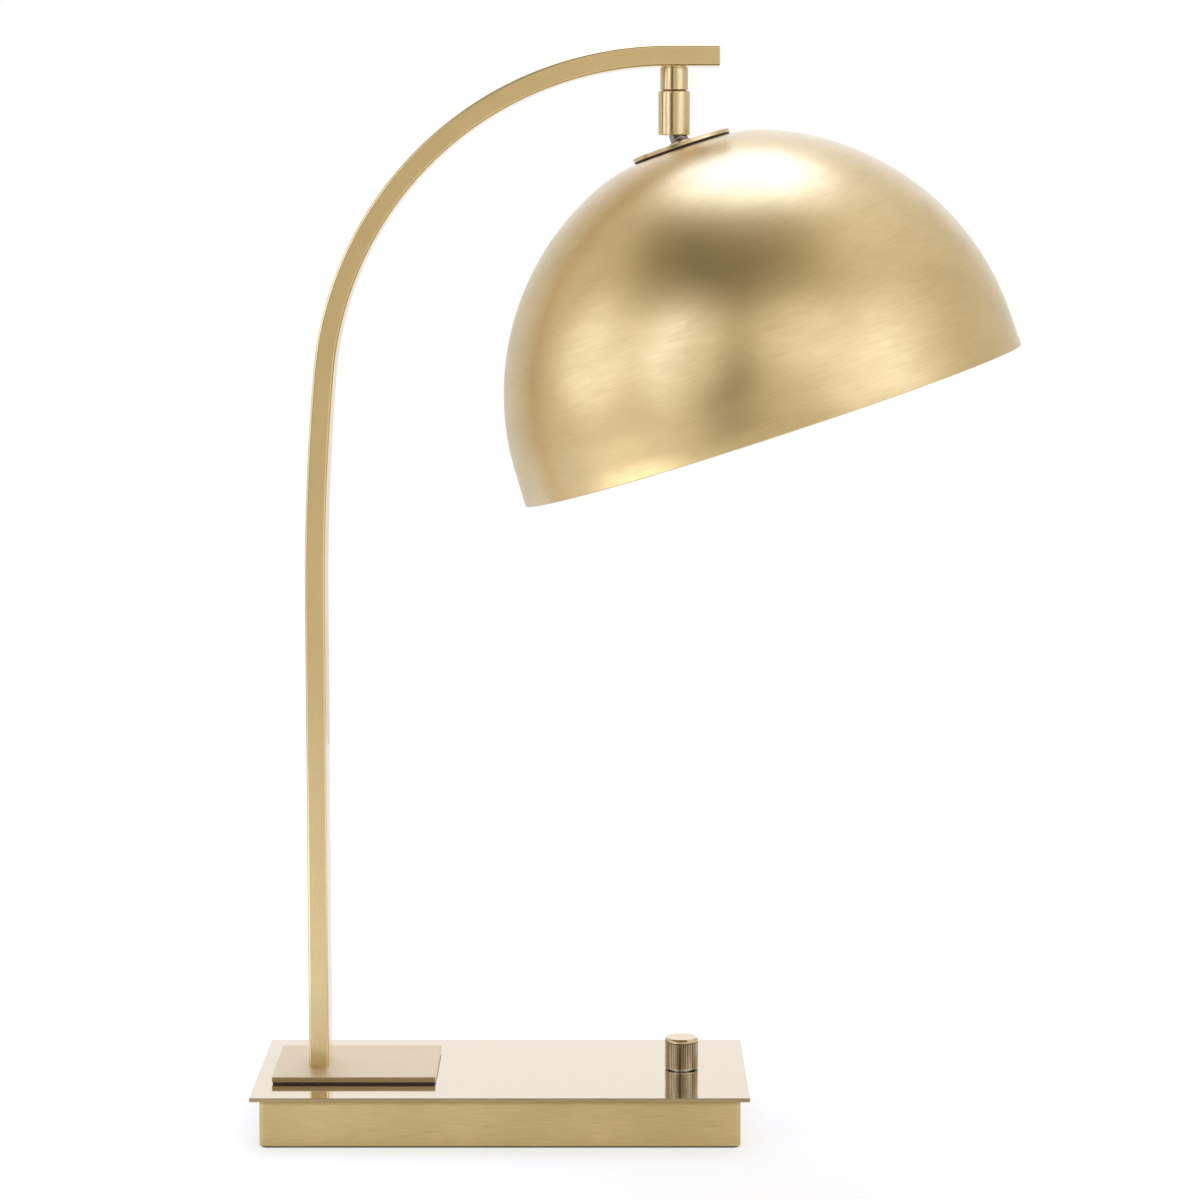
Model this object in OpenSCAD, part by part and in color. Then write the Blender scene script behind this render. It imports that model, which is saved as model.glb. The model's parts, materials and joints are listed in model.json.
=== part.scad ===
// Brass desk lamp: a weighted box base with a dimmer knob, a bent flat-tube arm and a spun dome
// shade on a ball swivel. Millimetres, +Z up, origin at the centre of the base's underside.

/* [Base] */
// Length of the top plate
plate_l = 254; // [240:1:300]
// Depth of the top plate
plate_d = 127; // [115:1:150]
// Thickness of the top plate
plate_t = 2.1; // [1.5:0.1:3]
// Bevel along the top plate's edges
plate_bevel = 0.25; // [0.1:0.05:0.5]
// How far the top plate overhangs the box
overhang = 4.5; // [2:0.5:6]
// Height of the box
box_h = 23.9; // [22:0.1:32]
// Sheet thickness of the box
box_wall = 1.5; // [1:0.1:2]
// Outer radius of the box's upright corners
box_corner_r = 3; // [2.5:0.1:5]
// Thickness of the bottom cover
cover_t = 1.2; // [1:0.1:2]
// Side of each tapped block that holds the bottom cover
block_w = 10; // [8:0.5:14]
// Thickness of the felt pad
felt_t = 1; // [0.8:0.1:3]
// How far the felt stops short of the box's sides
felt_inset = 0.9; // [0.5:0.1:3]
// Length of the counterweight
weight_l = 150; // [100:1:155]
// Depth of the counterweight
weight_d = 88; // [60:1:90]
// Thickness of the counterweight
weight_t = 10; // [6:0.5:11]
// Centre of the counterweight, along the base
weight_x = -20; // [-26:1:-18]
// Bore of the cord inlet
inlet_d = 6.4; // [5:0.1:7]
// Outer diameter of the inlet's sleeve
inlet_sleeve_d = 9; // [8:0.1:10]
// Place of the cord inlet, along the base
inlet_x = -40; // [-60:1:20]

/* [Foot of the arm] */
// Length of the foot plate
foot_l = 84.2; // [70:0.1:100]
// Depth of the foot plate
foot_d = 69.5; // [60:0.1:84]
// Thickness of the foot plate
foot_t = 2.9; // [2.4:0.1:5]
// Thickness of the black gasket under the foot plate
gasket_t = 0.9; // [0.5:0.1:2]
// Margin between the top plate's left edge and the foot plate
foot_margin = 9; // [7:0.5:14]
// Distance of the foot screws from the foot plate's edges
foot_screw_inset = 8; // [6:0.5:10]

/* [Arm] */
// Height of the arm's top above the surface
lamp_h = 557; // [500:1:620]
// Thickness of the flat tube
arm_t = 10.3; // [9.5:0.1:12]
// Depth of the flat tube
arm_d = 26; // [25:0.5:30]
// Wall of the flat tube
arm_wall = 1.2; // [1:0.1:1.4]
// Radius along the tube's edges
arm_edge_r = 1.3; // [1:0.1:2]
// Distance of the arm's centre from the foot plate's left edge
arm_offset = 22.6; // [20:0.1:30]
// Outer radius of the large bend
bend_r = 181.6; // [160:0.1:182]
// Outer radius of the slow curve under the bend
ease_r = 1300; // [800:10:1500]
// Angle of the slow curve
ease_a = 5.2; // [3:0.1:6]
// Distance from the arm's centre to the swivel's axis
arm_reach = 184; // [183:1:210]
// Length of arm past the swivel's axis
arm_tip = 22.9; // [15:0.1:40]
// Thickness of the plug in the arm's end
end_cap_t = 1.2; // [0.8:0.1:2]
// Height of the block inside the arm's foot
insert_h = 24; // [20:1:40]
// Diameter of the flex inside the arm
flex_d = 2.6; // [2:0.1:2.8]
// Distance from the arm's outer face to the flex's centre
flex_offset = 4.2; // [4:0.1:4.5]

/* [Swivel] */
// Diameter of the fixed collar under the arm
collar_d = 14.3; // [13:0.1:18]
// Height of the fixed collar
collar_h = 11.8; // [8:0.1:20]
// Groove between the collar and the turning housing
swivel_gap = 0.3; // [0.2:0.05:0.8]
// Outer diameter of the turning housing
housing_d = 16.25; // [16:0.05:20]
// Length of the turning housing
housing_h = 22.4; // [22:0.1:28]
// Rounding of the housing's shoulder
shoulder_r = 0.9; // [0.4:0.1:1.2]
// Height of the ball's centre above the housing's mouth
ball_rise = 5.8; // [5.7:0.1:6]
// Diameter of the ball
ball_d = 12.8; // [12.7:0.1:13]
// Inner diameter of the housing's mouth
mouth_d = 14.5; // [14.4:0.05:14.8]
// Diameter of the hollow nipple
nipple_d = 8; // [7.5:0.1:8.4]
// Bore of the nipple
nipple_bore = 4.2; // [3.6:0.1:4.6]
// Distance of the hex neck's top below the ball's centre
neck_top = 5.2; // [5.1:0.1:5.6]
// Width across the hex neck's flats
neck_af = 8; // [7.5:0.1:8.2]
// Diameter of the stem that carries the shade
stem_d = 8; // [7.5:0.1:8.4]
// Bore through the ball and the stem
stem_bore = 3.4; // [3:0.1:3.8]

/* [Shade] */
// Lean of the shade from upright
shade_tilt = 18.3; // [0:0.1:21]
// Turn of the shade about the swivel's axis
shade_turn = -5.4; // [-180:0.1:180]
// Distance from the ball's centre to the crown plate's top
crown_drop = 10.9; // [10.6:0.1:13]
// Diameter of the crown plate
crown_d = 51.7; // [44:0.1:56]
// Thickness of the crown plate
crown_t = 2; // [1.5:0.1:3]
// Diameter of the ring on the crown plate
ring_d = 11.6; // [11:0.1:12]
// Height of the ring on the crown plate
ring_h = 1.5; // [1:0.1:1.8]
// Thickness of the black gasket under the crown plate
crown_gasket_t = 1; // [0.6:0.1:2]
// Outer radius of the shade at its rim
rim_r = 133; // [120:0.5:145]
// Sheet thickness of the shade
shade_wall = 1; // [0.8:0.1:1.5]
// Taper of the shade's skirt, in degrees
skirt_taper = 1.65; // [0.5:0.05:4]
// Height of the shade's skirt
skirt_h = 18.5; // [10:0.5:30]
// Radius of the dome's arc
dome_r = 137.7; // [130:0.1:145]
// Radius of the flat crown
flat_r = 22.4; // [20:0.1:27]
// Radius of the curve that eases the flat crown into the dome
crown_ease_r = 60; // [30:1:75]

/* [Lamp holder] */
// Diameter of the holder's shell
holder_d = 38; // [34:0.5:44]
// Length of the holder's shell
holder_shell_l = 34; // [30:0.5:40]
// Length of the holder's cap
holder_cap_l = 17; // [12:0.5:20]
// Wall of the cap and the shell
holder_wall = 1; // [0.8:0.1:1.5]
// Inner diameter of the screw shell
screw_shell_d = 27; // [26.8:0.1:27.4]
// Diameter of the lamp's screw cap
bulb_cap_d = 26; // [25.5:0.1:26.4]
// Length of the lamp's screw cap
bulb_cap_l = 25; // [23:0.5:26]
// Diameter of the bulb
bulb_d = 60; // [50:1:62]
// Length of the bulb from its contact to its tip
bulb_l = 104; // [98:1:106]

/* [Dimmer] */
// Distance from the top plate's right edge to the knob's centre
knob_inset = 33.4; // [26:0.1:40]
// Diameter of the knob
knob_d = 17.5; // [17:0.1:22]
// Height of the knob
knob_h = 16.2; // [15:0.1:24]
// Gap between the knob and the top plate
knob_gap = 0.6; // [0.4:0.1:1]
// Number of flutes round the knob
knob_flutes = 50; // [30:1:60]
// Depth of the flutes
flute_depth = 0.35; // [0.2:0.05:0.4]
// Height of the plain head above the flutes
knob_head = 1.9; // [1.5:0.1:2.5]
// Chamfer round the knob's head
knob_chamfer = 0.9; // [0.4:0.1:1.2]
// Width of the dimmer's body
dimmer_w = 30; // [24:0.5:32]
// Depth of the dimmer's body
dimmer_d = 28; // [22:0.5:32]
// Height of the dimmer's body
dimmer_h = 14; // [10:0.5:18]
// Diameter of the dimmer's threaded neck
dimmer_neck_d = 9; // [8:0.1:9.4]
// Diameter of the dimmer's shaft
dimmer_shaft_d = 6; // [5:0.1:6.4]

/* [Fasteners and fits] */
// Diameter of the larger screws
screw_d = 4; // [3.5:0.1:4.4]
// Diameter of the cover's screws
cover_screw_d = 3; // [2.5:0.1:3.5]
// Radial clearance of a turning fit
run_fit = 0.05; // [0.03:0.01:0.1]
// Radial clearance of a thread
thread_fit = 0.05; // [0.02:0.01:0.1]
// Radial clearance between the ball and its seats
ball_fit = 0.08; // [0.05:0.01:0.1]
// Radial clearance of a hole that a screw or a wire passes
pass_fit = 0.3; // [0.2:0.05:0.5]
// Gap round a piece that drops into another
drop_fit = 0.1; // [0.05:0.05:0.3]

/* [Hidden] */
$fn = 96;

brass = [0.74, 0.64, 0.42];
aged_brass = [0.55, 0.48, 0.34];
steel = [0.62, 0.63, 0.64];
dark_metal = [0.3, 0.29, 0.3];
black = [0.08, 0.08, 0.08];
white_insulation = [0.9, 0.9, 0.88];
glass_tint = [0.95, 0.95, 0.9, 0.6];

// Overlap that a cut reaches past the face it opens
cut = 1;

// Heights in the base
box_z = felt_t;
cover_top_z = felt_t + cover_t;
box_top_z = box_z + box_h;
box_under_z = box_top_z - box_wall;
plate_top_z = box_top_z + plate_t;
foot_z = plate_top_z + gasket_t;
foot_top_z = foot_z + foot_t;
weight_top_z = cover_top_z + weight_t;
inlet_z = box_z + box_h / 2;

// Plan sizes in the base
box_l = plate_l - 2 * overhang;
box_d = plate_d - 2 * overhang;
inner_l = box_l - 2 * box_wall;
inner_d = box_d - 2 * box_wall;
inner_corner_r = box_corner_r - box_wall;
foot_x = -plate_l / 2 + foot_margin + foot_l / 2;
arm_x = -plate_l / 2 + foot_margin + arm_offset;
knob_x = plate_l / 2 - knob_inset;
swivel_x = arm_x + arm_reach;
arm_end_x = swivel_x + arm_tip;

// Screws: head diameter and height follow the thread
head_ratio = 1.85;
head_height_ratio = 0.6;
key_ratio = 0.5;
foot_screw_xy = [
    for (sx = [-1, 1], sy = [-1, 1])
        [foot_x + sx * (foot_l / 2 - foot_screw_inset), sy * (foot_d / 2 - foot_screw_inset)]
];
foot_screw_bite = foot_t * 0.75;
arm_screw_y = arm_d / 4 + 1;
arm_screw_bite = insert_h * 0.6;
block_reach_l = inner_l / 2 - drop_fit - block_w / 2;
block_reach_d = inner_d / 2 - drop_fit - block_w / 2;
block_xy = [for (sx = [-1, 0, 1], sy = [-1, 1]) [sx * block_reach_l, sy * block_reach_d]];
cover_screw_bite = 6;
weight_screw_xy = [for (sx = [-1, 1], sy = [-1, 1]) [weight_x + sx * weight_l * 0.4, sy * weight_d * 0.35]];
weight_screw_bite = weight_t * 0.7;

// Inlet bushing
inlet_flange_t = 1.5;
inlet_flange_d = inlet_sleeve_d + 4;
inlet_nut_t = 2;
inlet_sleeve_l = inlet_flange_t + box_wall + inlet_nut_t + 1;

// Terminal block and the flex in the base
terminal_l = 22;
terminal_d = 16;
terminal_h = 9;
terminal_x = 20;
lead_z = weight_top_z + terminal_h / 4;
lead_d = 1.8;
lead_y = 4;
base_bend_r = 5;

// Arm path: straight post, slow curve, large bend, straight end
arm_outer_x = arm_x - arm_t / 2;
flex_hole_d = flex_d + 2 * (flex_offset < arm_t / 2 ? arm_t / 2 - flex_offset : 0) + 2 * pass_fit;
ease_z = lamp_h - bend_r * (1 - sin(ease_a)) - ease_r * sin(ease_a);
bend_centre = [arm_outer_x + ease_r - (ease_r - bend_r) * cos(ease_a), lamp_h - bend_r];
arm_post_h = thousandths(ease_z - foot_top_z);
arm_end_l = thousandths(arm_end_x - end_cap_t - bend_centre[0]);
arm_inner_t = arm_t - 2 * arm_wall;
arm_inner_d = arm_d - 2 * arm_wall;
arm_inner_r = 0.5;
arm_under_z = lamp_h - arm_t;

// Swivel: heights from the ball's centre up, radii from the swivel's axis
collar_z = arm_under_z - collar_h;
housing_top_z = collar_z - swivel_gap;
mouth_z = housing_top_z - housing_h;
ball_z = mouth_z + ball_rise;
ball_r = ball_d / 2;
seat_r = ball_r + ball_fit;
chamber_wall = 1.45;
chamber_r = housing_d / 2 - chamber_wall;
lip_drop = 2;
lip_r = sqrt(seat_r * seat_r - lip_drop * lip_drop);
ball_top = 4.6;
seat_low = 1.5;
seat_high = 6.2;
seat_hole_r = 4.75;
spring_t = 1.5;
spring_sheet = 0.5;
funnel_r = 3.7;
neck_waist = 0.6;
flange_rim = 1.9;
flange_r = nipple_d / 2 + flange_rim;
flange_t = 1.6;
flange_z = ball_z + seat_high + spring_t + drop_fit;
housing_cap_z = flange_z + flange_t + drop_fit;
nipple_nut_t = 1.7;
nipple_nut_af = 11;
nipple_stub = 0.4;
nipple_top_z = arm_under_z + arm_wall + nipple_nut_t + nipple_stub;
flex_turn_r = 2.2;
flex_end = 0.6;
washer_d = 12;

// Shade heights, measured down from the ball's centre along the shade's own axis
ring_top = crown_drop - ring_h;
gasket_top = crown_drop + crown_t;
dome_top = gasket_top + crown_gasket_t;
stem_r = stem_d / 2;
stem_hole_r = stem_r + thread_fit;
dome_edge = [rim_r - skirt_h * tan(skirt_taper), skirt_h];
dome_centre = [dome_edge[0] - dome_r * cos(skirt_taper), dome_edge[1] - dome_r * sin(skirt_taper)];
dome_end_a = acos((flat_r - dome_centre[0]) / (dome_r - crown_ease_r));
crown_ease_centre = [flat_r, dome_centre[1] + (dome_r - crown_ease_r) * sin(dome_end_a)];
dome_h = crown_ease_centre[1] + crown_ease_r;
rim_drop = dome_top + dome_h;
crown_washer_t = 1.2;
crown_washer_margin = 6.5;
crown_nut_t = 4;
crown_nut_af = 13;
washer_top = dome_top + shade_wall;
nut_top = washer_top + crown_washer_t;
cap_top = nut_top + crown_nut_t;
stem_bite = 6;
stem_end = cap_top + stem_bite;
shell_top = cap_top + holder_cap_l;
insulator_t = 7;
screw_shell_wall = 0.7;
screw_shell_l = 24;
contact_t = 1.2;
contact_r = 4;
contact_top = shell_top + insulator_t;
bulb_top = contact_top + contact_t;
bulb_tip = bulb_top + bulb_l;
bulb_centre = bulb_tip - bulb_d / 2;
bulb_wall = 1;
bulb_cap_wall = 0.4;
bulb_button_r = 3.5;
bulb_shoulder_a = 35;
holder_neck_wall = 3;

// Dimmer heights
dimmer_z = box_under_z - dimmer_h;
neck_top_z = plate_top_z + 4;
dimmer_washer_t = 0.6;
dimmer_nut_t = 2.6;
dimmer_nut_af = 11;
knob_z = plate_top_z + knob_gap;
knob_top_z = knob_z + knob_h;
knob_recess_r = 7.2;
knob_recess_h = neck_top_z - knob_z + 0.6;
shaft_top_z = knob_top_z - 3;
shaft_flat = dimmer_shaft_d * 0.3;
knob_groove = 0.5;
knob_foot = 0.8;

// Rectangle with rounded corners, centred
module rounded_rect(l, d, r) {
    square([l, d - 2 * r], center = true);
    square([l - 2 * r, d], center = true);
    for (sx = [-1, 1], sy = [-1, 1])
        translate([sx * (l / 2 - r), sy * (d / 2 - r)])
            circle(r);
}

// Plate whose upper and lower edges are bevelled, standing on z = 0
module bevelled_plate(l, d, t, b) {
    intersection() {
        rotate([90, 0, 0])
            linear_extrude(d, center = true)
                bevelled_section(l, t, b);
        rotate([90, 0, 90])
            linear_extrude(l, center = true)
                bevelled_section(d, t, b);
    }
}

module bevelled_section(w, t, b) {
    polygon([
        [-w / 2 + b, 0], [w / 2 - b, 0], [w / 2, b], [w / 2, t - b],
        [w / 2 - b, t], [-w / 2 + b, t], [-w / 2, t - b], [-w / 2, b]
    ]);
}

module at_each(places) {
    for (p = places)
        translate([p[0], p[1], 0])
            children();
}

module tube(outer_r, inner_r, z0, z1) {
    difference() {
        translate([0, 0, z0])
            cylinder(r = outer_r, h = z1 - z0);
        translate([0, 0, z0 - cut])
            cylinder(r = inner_r, h = z1 - z0 + 2 * cut);
    }
}

// Hexagon by its width across flats
module hexagon(af) {
    circle(d = af / cos(30), $fn = 6);
}

module hex_nut(af, inner_r, z0, z1) {
    translate([0, 0, z0])
        linear_extrude(z1 - z0)
            difference() {
                hexagon(af);
                circle(inner_r);
            }
}

// Pan-head screw that points up, its head under z = 0
module pan_screw(d, reach) {
    head_r = d * head_ratio / 2;
    head_h = d * head_height_ratio;
    difference() {
        union() {
            translate([0, 0, -head_h])
                cylinder(r = head_r, h = head_h);
            cylinder(d = d, h = reach);
        }
        translate([0, 0, -head_h - cut])
            linear_extrude(head_h / 2 + cut)
                hexagon(d * key_ratio);
    }
}

// Countersunk screw that points up, its head flush with z = 0
module flat_screw(d, reach) {
    head_r = d * head_ratio / 2;
    head_h = head_r - d / 2;
    difference() {
        union() {
            rotate_extrude()
                polygon([[0, 0], [head_r, 0], [d / 2, head_h], [0, head_h]]);
            cylinder(d = d, h = reach);
        }
        translate([0, 0, -cut])
            linear_extrude(head_h * 0.6 + cut)
                hexagon(d * key_ratio);
    }
}

module flat_screw_hole(d, depth, fit) {
    head_r = d * head_ratio / 2 + fit;
    head_h = head_r - d / 2 - fit;
    rotate_extrude()
        polygon([
            [0, -cut], [head_r, -cut], [head_r, 0], [d / 2 + fit, head_h],
            [d / 2 + fit, depth], [0, depth]
        ]);
}

// Base
module base_box() {
    color(brass)
        difference() {
            translate([0, 0, box_z])
                linear_extrude(box_h)
                    rounded_rect(box_l, box_d, box_corner_r);
            translate([0, 0, box_z - cut])
                linear_extrude(box_h - box_wall + cut)
                    rounded_rect(inner_l, inner_d, inner_corner_r);
            top_holes(box_under_z, box_top_z);
            translate([inlet_x, box_d / 2 + cut, inlet_z])
                rotate([90, 0, 0])
                    cylinder(d = inlet_sleeve_d + 2 * thread_fit, h = box_wall + 2 * cut);
        }
}

// Holes that pass through the box's top and the top plate
module top_holes(z0, z1) {
    depth = z1 - z0 + 2 * cut;
    translate([0, 0, z0 - cut]) {
        at_each(foot_screw_xy)
            cylinder(d = screw_d + 2 * pass_fit, h = depth);
        arm_holes(depth);
        translate([knob_x, 0, 0])
            cylinder(d = dimmer_neck_d + 2 * pass_fit, h = depth);
    }
}

// Holes in line with the arm's foot: two screws and the flex
module arm_holes(depth) {
    at_each([[arm_x, -arm_screw_y], [arm_x, arm_screw_y]])
        cylinder(d = screw_d + 2 * pass_fit, h = depth);
    translate([arm_x, 0, 0])
        cylinder(d = flex_hole_d, h = depth);
}

module top_plate() {
    color(brass)
        difference() {
            translate([0, 0, box_top_z])
                bevelled_plate(plate_l, plate_d, plate_t, plate_bevel);
            top_holes(box_top_z, plate_top_z);
        }
}

module bottom_cover() {
    color(steel)
        difference() {
            translate([0, 0, box_z])
                linear_extrude(cover_t)
                    rounded_rect(inner_l - 2 * drop_fit, inner_d - 2 * drop_fit, inner_corner_r);
            translate([0, 0, box_z])
                at_each(block_xy)
                    flat_screw_hole(cover_screw_d, cover_t + cut, thread_fit);
            translate([0, 0, box_z])
                at_each(weight_screw_xy)
                    flat_screw_hole(screw_d, cover_t + cut, thread_fit);
        }
}

module cover_blocks() {
    color(aged_brass)
        difference() {
            at_each(block_xy)
                translate([0, 0, cover_top_z])
                    linear_extrude(box_under_z - cover_top_z)
                        rounded_rect(block_w, block_w, inner_corner_r);
            translate([0, 0, box_z])
                at_each(block_xy)
                    flat_screw_hole(cover_screw_d, cover_t + cover_screw_bite + cut, thread_fit);
        }
}

module cover_screws() {
    color(steel)
        translate([0, 0, box_z])
            at_each(block_xy)
                flat_screw(cover_screw_d, cover_t + cover_screw_bite);
}

module felt_pad() {
    color(black)
        linear_extrude(felt_t)
            rounded_rect(box_l - 2 * felt_inset, box_d - 2 * felt_inset, box_corner_r + felt_inset);
}

module counterweight() {
    color(dark_metal)
        difference() {
            translate([weight_x, 0, cover_top_z])
                bevelled_plate(weight_l, weight_d, weight_t, weight_t / 10);
            translate([0, 0, box_z])
                at_each(weight_screw_xy)
                    flat_screw_hole(screw_d, cover_t + weight_screw_bite + cut / 2, thread_fit);
        }
}

module weight_screws() {
    color(steel)
        translate([0, 0, box_z])
            at_each(weight_screw_xy)
                flat_screw(screw_d, cover_t + weight_screw_bite);
}

// Sleeve with a flange outside the box's back wall, where the mains cord enters
module cord_bushing() {
    color(black)
        translate([inlet_x, box_d / 2, inlet_z])
            rotate([90, 0, 0])
                difference() {
                    union() {
                        translate([0, 0, -inlet_flange_t])
                            cylinder(d = inlet_flange_d, h = inlet_flange_t);
                        translate([0, 0, -inlet_flange_t])
                            cylinder(d = inlet_sleeve_d, h = inlet_sleeve_l);
                    }
                    translate([0, 0, -inlet_flange_t - cut])
                        cylinder(d = inlet_d, h = inlet_sleeve_l + 2 * cut);
                }
}

module bushing_nut() {
    color(black)
        translate([inlet_x, box_d / 2 - box_wall, inlet_z])
            rotate([90, 0, 0])
                hex_nut(inlet_flange_d, inlet_sleeve_d / 2 + thread_fit, 0, inlet_nut_t);
}

// Screw connector on top of the counterweight
module terminal_block() {
    pitch = terminal_l / 3;
    color(white_insulation)
        translate([terminal_x, 0, weight_top_z])
            difference() {
                union() {
                    translate([0, 0, terminal_h / 4])
                        cube([terminal_l, terminal_d, terminal_h / 2], center = true);
                    for (i = [-1, 0, 1])
                        translate([i * pitch, 0, terminal_h / 2])
                            cube([pitch * 0.8, terminal_d * 0.8, terminal_h], center = true);
                }
                for (i = [-1, 0, 1], s = [-1, 1])
                    translate([i * pitch, s * terminal_d / 4, terminal_h / 2])
                        cylinder(d = screw_d * 0.8, h = terminal_h);
            }
}

module inner_leads() {
    x0 = terminal_x + terminal_l / 2;
    x1 = knob_x - dimmer_w / 2;
    color(white_insulation)
        for (s = [-1, 1])
            translate([x0, s * lead_y, lead_z])
                rotate([0, 90, 0])
                    cylinder(d = lead_d, h = x1 - x0);
}

// Dimmer under the box's top, its threaded neck standing through the top plate
module dimmer_body() {
    color(dark_metal)
        translate([knob_x, 0, 0])
            difference() {
                union() {
                    translate([0, 0, dimmer_z])
                        linear_extrude(dimmer_h)
                            rounded_rect(dimmer_w, dimmer_d, 2);
                    translate([0, 0, box_under_z])
                        cylinder(d = dimmer_neck_d, h = neck_top_z - box_under_z);
                }
                translate([0, 0, dimmer_z + dimmer_h / 4])
                    cylinder(d = dimmer_shaft_d + 2 * run_fit, h = neck_top_z - dimmer_z);
            }
}

module dimmer_washer() {
    r = dimmer_nut_af * 0.59;
    color(steel)
        translate([knob_x, 0, plate_top_z])
            tube(r, dimmer_neck_d / 2 + thread_fit, 0, dimmer_washer_t);
}

module dimmer_nut() {
    z0 = plate_top_z + dimmer_washer_t;
    color(steel)
        translate([knob_x, 0, 0])
            hex_nut(dimmer_nut_af, dimmer_neck_d / 2 + thread_fit, z0, z0 + dimmer_nut_t);
}

// Shaft with a flat over the length that the knob grips
module dimmer_shaft() {
    z0 = dimmer_z + dimmer_h / 4 + run_fit;
    color(steel)
        translate([knob_x, 0, 0])
            difference() {
                translate([0, 0, z0])
                    cylinder(d = dimmer_shaft_d, h = shaft_top_z - z0);
                translate([shaft_flat, -dimmer_shaft_d, neck_top_z + knob_gap])
                    cube([dimmer_shaft_d, 2 * dimmer_shaft_d, knob_h]);
            }
}

// Fluted knob: flutes between a plain foot and a head set off by a groove
module dimmer_knob() {
    r = knob_d / 2;
    flutes_z = knob_z + knob_foot;
    groove_z = knob_top_z - knob_head - knob_groove;
    color(aged_brass)
        translate([knob_x, 0, 0])
            difference() {
                union() {
                    translate([0, 0, knob_z])
                        cylinder(r = r - flute_depth / 2, h = knob_foot);
                    translate([0, 0, flutes_z])
                        linear_extrude(groove_z - flutes_z)
                            fluted_outline(r, flute_depth, knob_flutes);
                    translate([0, 0, groove_z])
                        cylinder(r = r - 2 * flute_depth, h = knob_groove);
                    translate([0, 0, knob_top_z - knob_head])
                        rotate_extrude()
                            polygon([
                                [0, 0], [r, 0], [r, knob_head - knob_chamfer],
                                [r - knob_chamfer, knob_head], [0, knob_head]
                            ]);
                }
                translate([0, 0, knob_z - cut])
                    cylinder(r = knob_recess_r, h = knob_recess_h + cut);
                intersection() {
                    translate([0, 0, knob_z])
                        cylinder(d = dimmer_shaft_d, h = shaft_top_z - knob_z);
                    translate([-knob_d + shaft_flat, -knob_d / 2, knob_z])
                        cube([knob_d, knob_d, knob_h]);
                }
            }
}

module fluted_outline(r, depth, count) {
    step = 360 / count;
    polygon([
        for (i = [0:count - 1], k = [0, 0.25, 0.5, 0.75])
            let (a = (i + k) * step, rr = k < 0.4 ? r : r - depth)
                [rr * cos(a), rr * sin(a)]
    ]);
}

// Foot of the arm
module foot_gasket() {
    color(black)
        difference() {
            translate([foot_x, 0, plate_top_z])
                linear_extrude(gasket_t)
                    square([foot_l - 1, foot_d - 1], center = true);
            translate([0, 0, plate_top_z - cut]) {
                at_each(foot_screw_xy)
                    cylinder(d = screw_d + 2 * pass_fit, h = gasket_t + 2 * cut);
                arm_holes(gasket_t + 2 * cut);
            }
        }
}

module foot_plate() {
    color(brass)
        difference() {
            translate([foot_x, 0, foot_z])
                bevelled_plate(foot_l, foot_d, foot_t, plate_bevel);
            translate([0, 0, foot_z - cut]) {
                at_each(foot_screw_xy)
                    cylinder(d = screw_d + 2 * thread_fit, h = foot_screw_bite + cut);
                arm_holes(foot_t + 2 * cut);
            }
        }
}

module foot_screws() {
    color(steel)
        translate([0, 0, box_under_z])
            at_each(foot_screw_xy)
                pan_screw(screw_d, foot_z - box_under_z + foot_screw_bite - thread_fit);
}

module arm_screws() {
    color(steel)
        translate([0, 0, box_under_z])
            at_each([[arm_x, -arm_screw_y], [arm_x, arm_screw_y]])
                pan_screw(screw_d, foot_top_z - box_under_z + arm_screw_bite);
}

// Tapped block brazed inside the arm's foot
module arm_insert() {
    color(aged_brass)
        translate([arm_x, 0, foot_top_z])
            difference() {
                linear_extrude(insert_h)
                    rounded_rect(arm_inner_t - 2 * drop_fit, arm_inner_d - 2 * drop_fit, arm_inner_r);
                for (s = [-1, 1])
                    translate([0, s * arm_screw_y, -cut])
                        cylinder(d = screw_d + 2 * thread_fit, h = arm_screw_bite + 2 * cut);
                translate([0, 0, -cut])
                    cylinder(d = flex_hole_d, h = insert_h + 2 * cut);
            }
}

// Arm
// Places are set in whole millimetres, then thousandths, then the remainder, so that one bend meets the
// next face to face
function thousandths(v) = floor(v * 1000) / 1000;
function fraction(v) = thousandths(v - floor(v));
function remainder(v) = v - floor(v) - fraction(v);

module exactly_at(x, z) {
    translate([floor(x), 0, floor(z)])
        translate([fraction(x), 0, fraction(z)])
            translate([remainder(x), 0, remainder(z)])
                children();
}

module exactly_out(r) {
    translate([floor(r), 0])
        translate([fraction(r), 0])
            translate([remainder(r), 0])
                children();
}

// Bend in the plane of the arm, about an axis along Y
module bent_run(centre, r, a0, a) {
    exactly_at(centre[0], centre[1])
        rotate([90, 0, 0])
            rotate_extrude(angle = a, start = a0, $fn = 240)
                exactly_out(r)
                    children();
}

// Sweeps a flat section along the arm, its centre set in by off from the arm's outer face
module along_arm(off, post_h, end_l) {
    exactly_at(arm_outer_x + off, ease_z)
        translate([0, 0, -post_h])
            linear_extrude(post_h)
                children();
    bent_run([arm_outer_x + ease_r, ease_z], ease_r - off, 180 - ease_a, ease_a)
        children();
    bent_run(bend_centre, bend_r - off, 90, 90 - ease_a)
        children();
    exactly_at(bend_centre[0], lamp_h - off)
        rotate([0, 90, 0])
            linear_extrude(end_l)
                children();
}

module arm_tube() {
    color(brass)
        difference() {
            along_arm(arm_t / 2, arm_post_h, arm_end_l)
                rounded_rect(arm_t, arm_d, arm_edge_r);
            along_arm(arm_t / 2, arm_post_h + cut, arm_end_l + cut)
                rounded_rect(arm_inner_t, arm_inner_d, arm_inner_r);
            translate([swivel_x, 0, arm_under_z - cut])
                cylinder(d = nipple_d + 2 * thread_fit, h = arm_wall + 2 * cut);
        }
}

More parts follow.
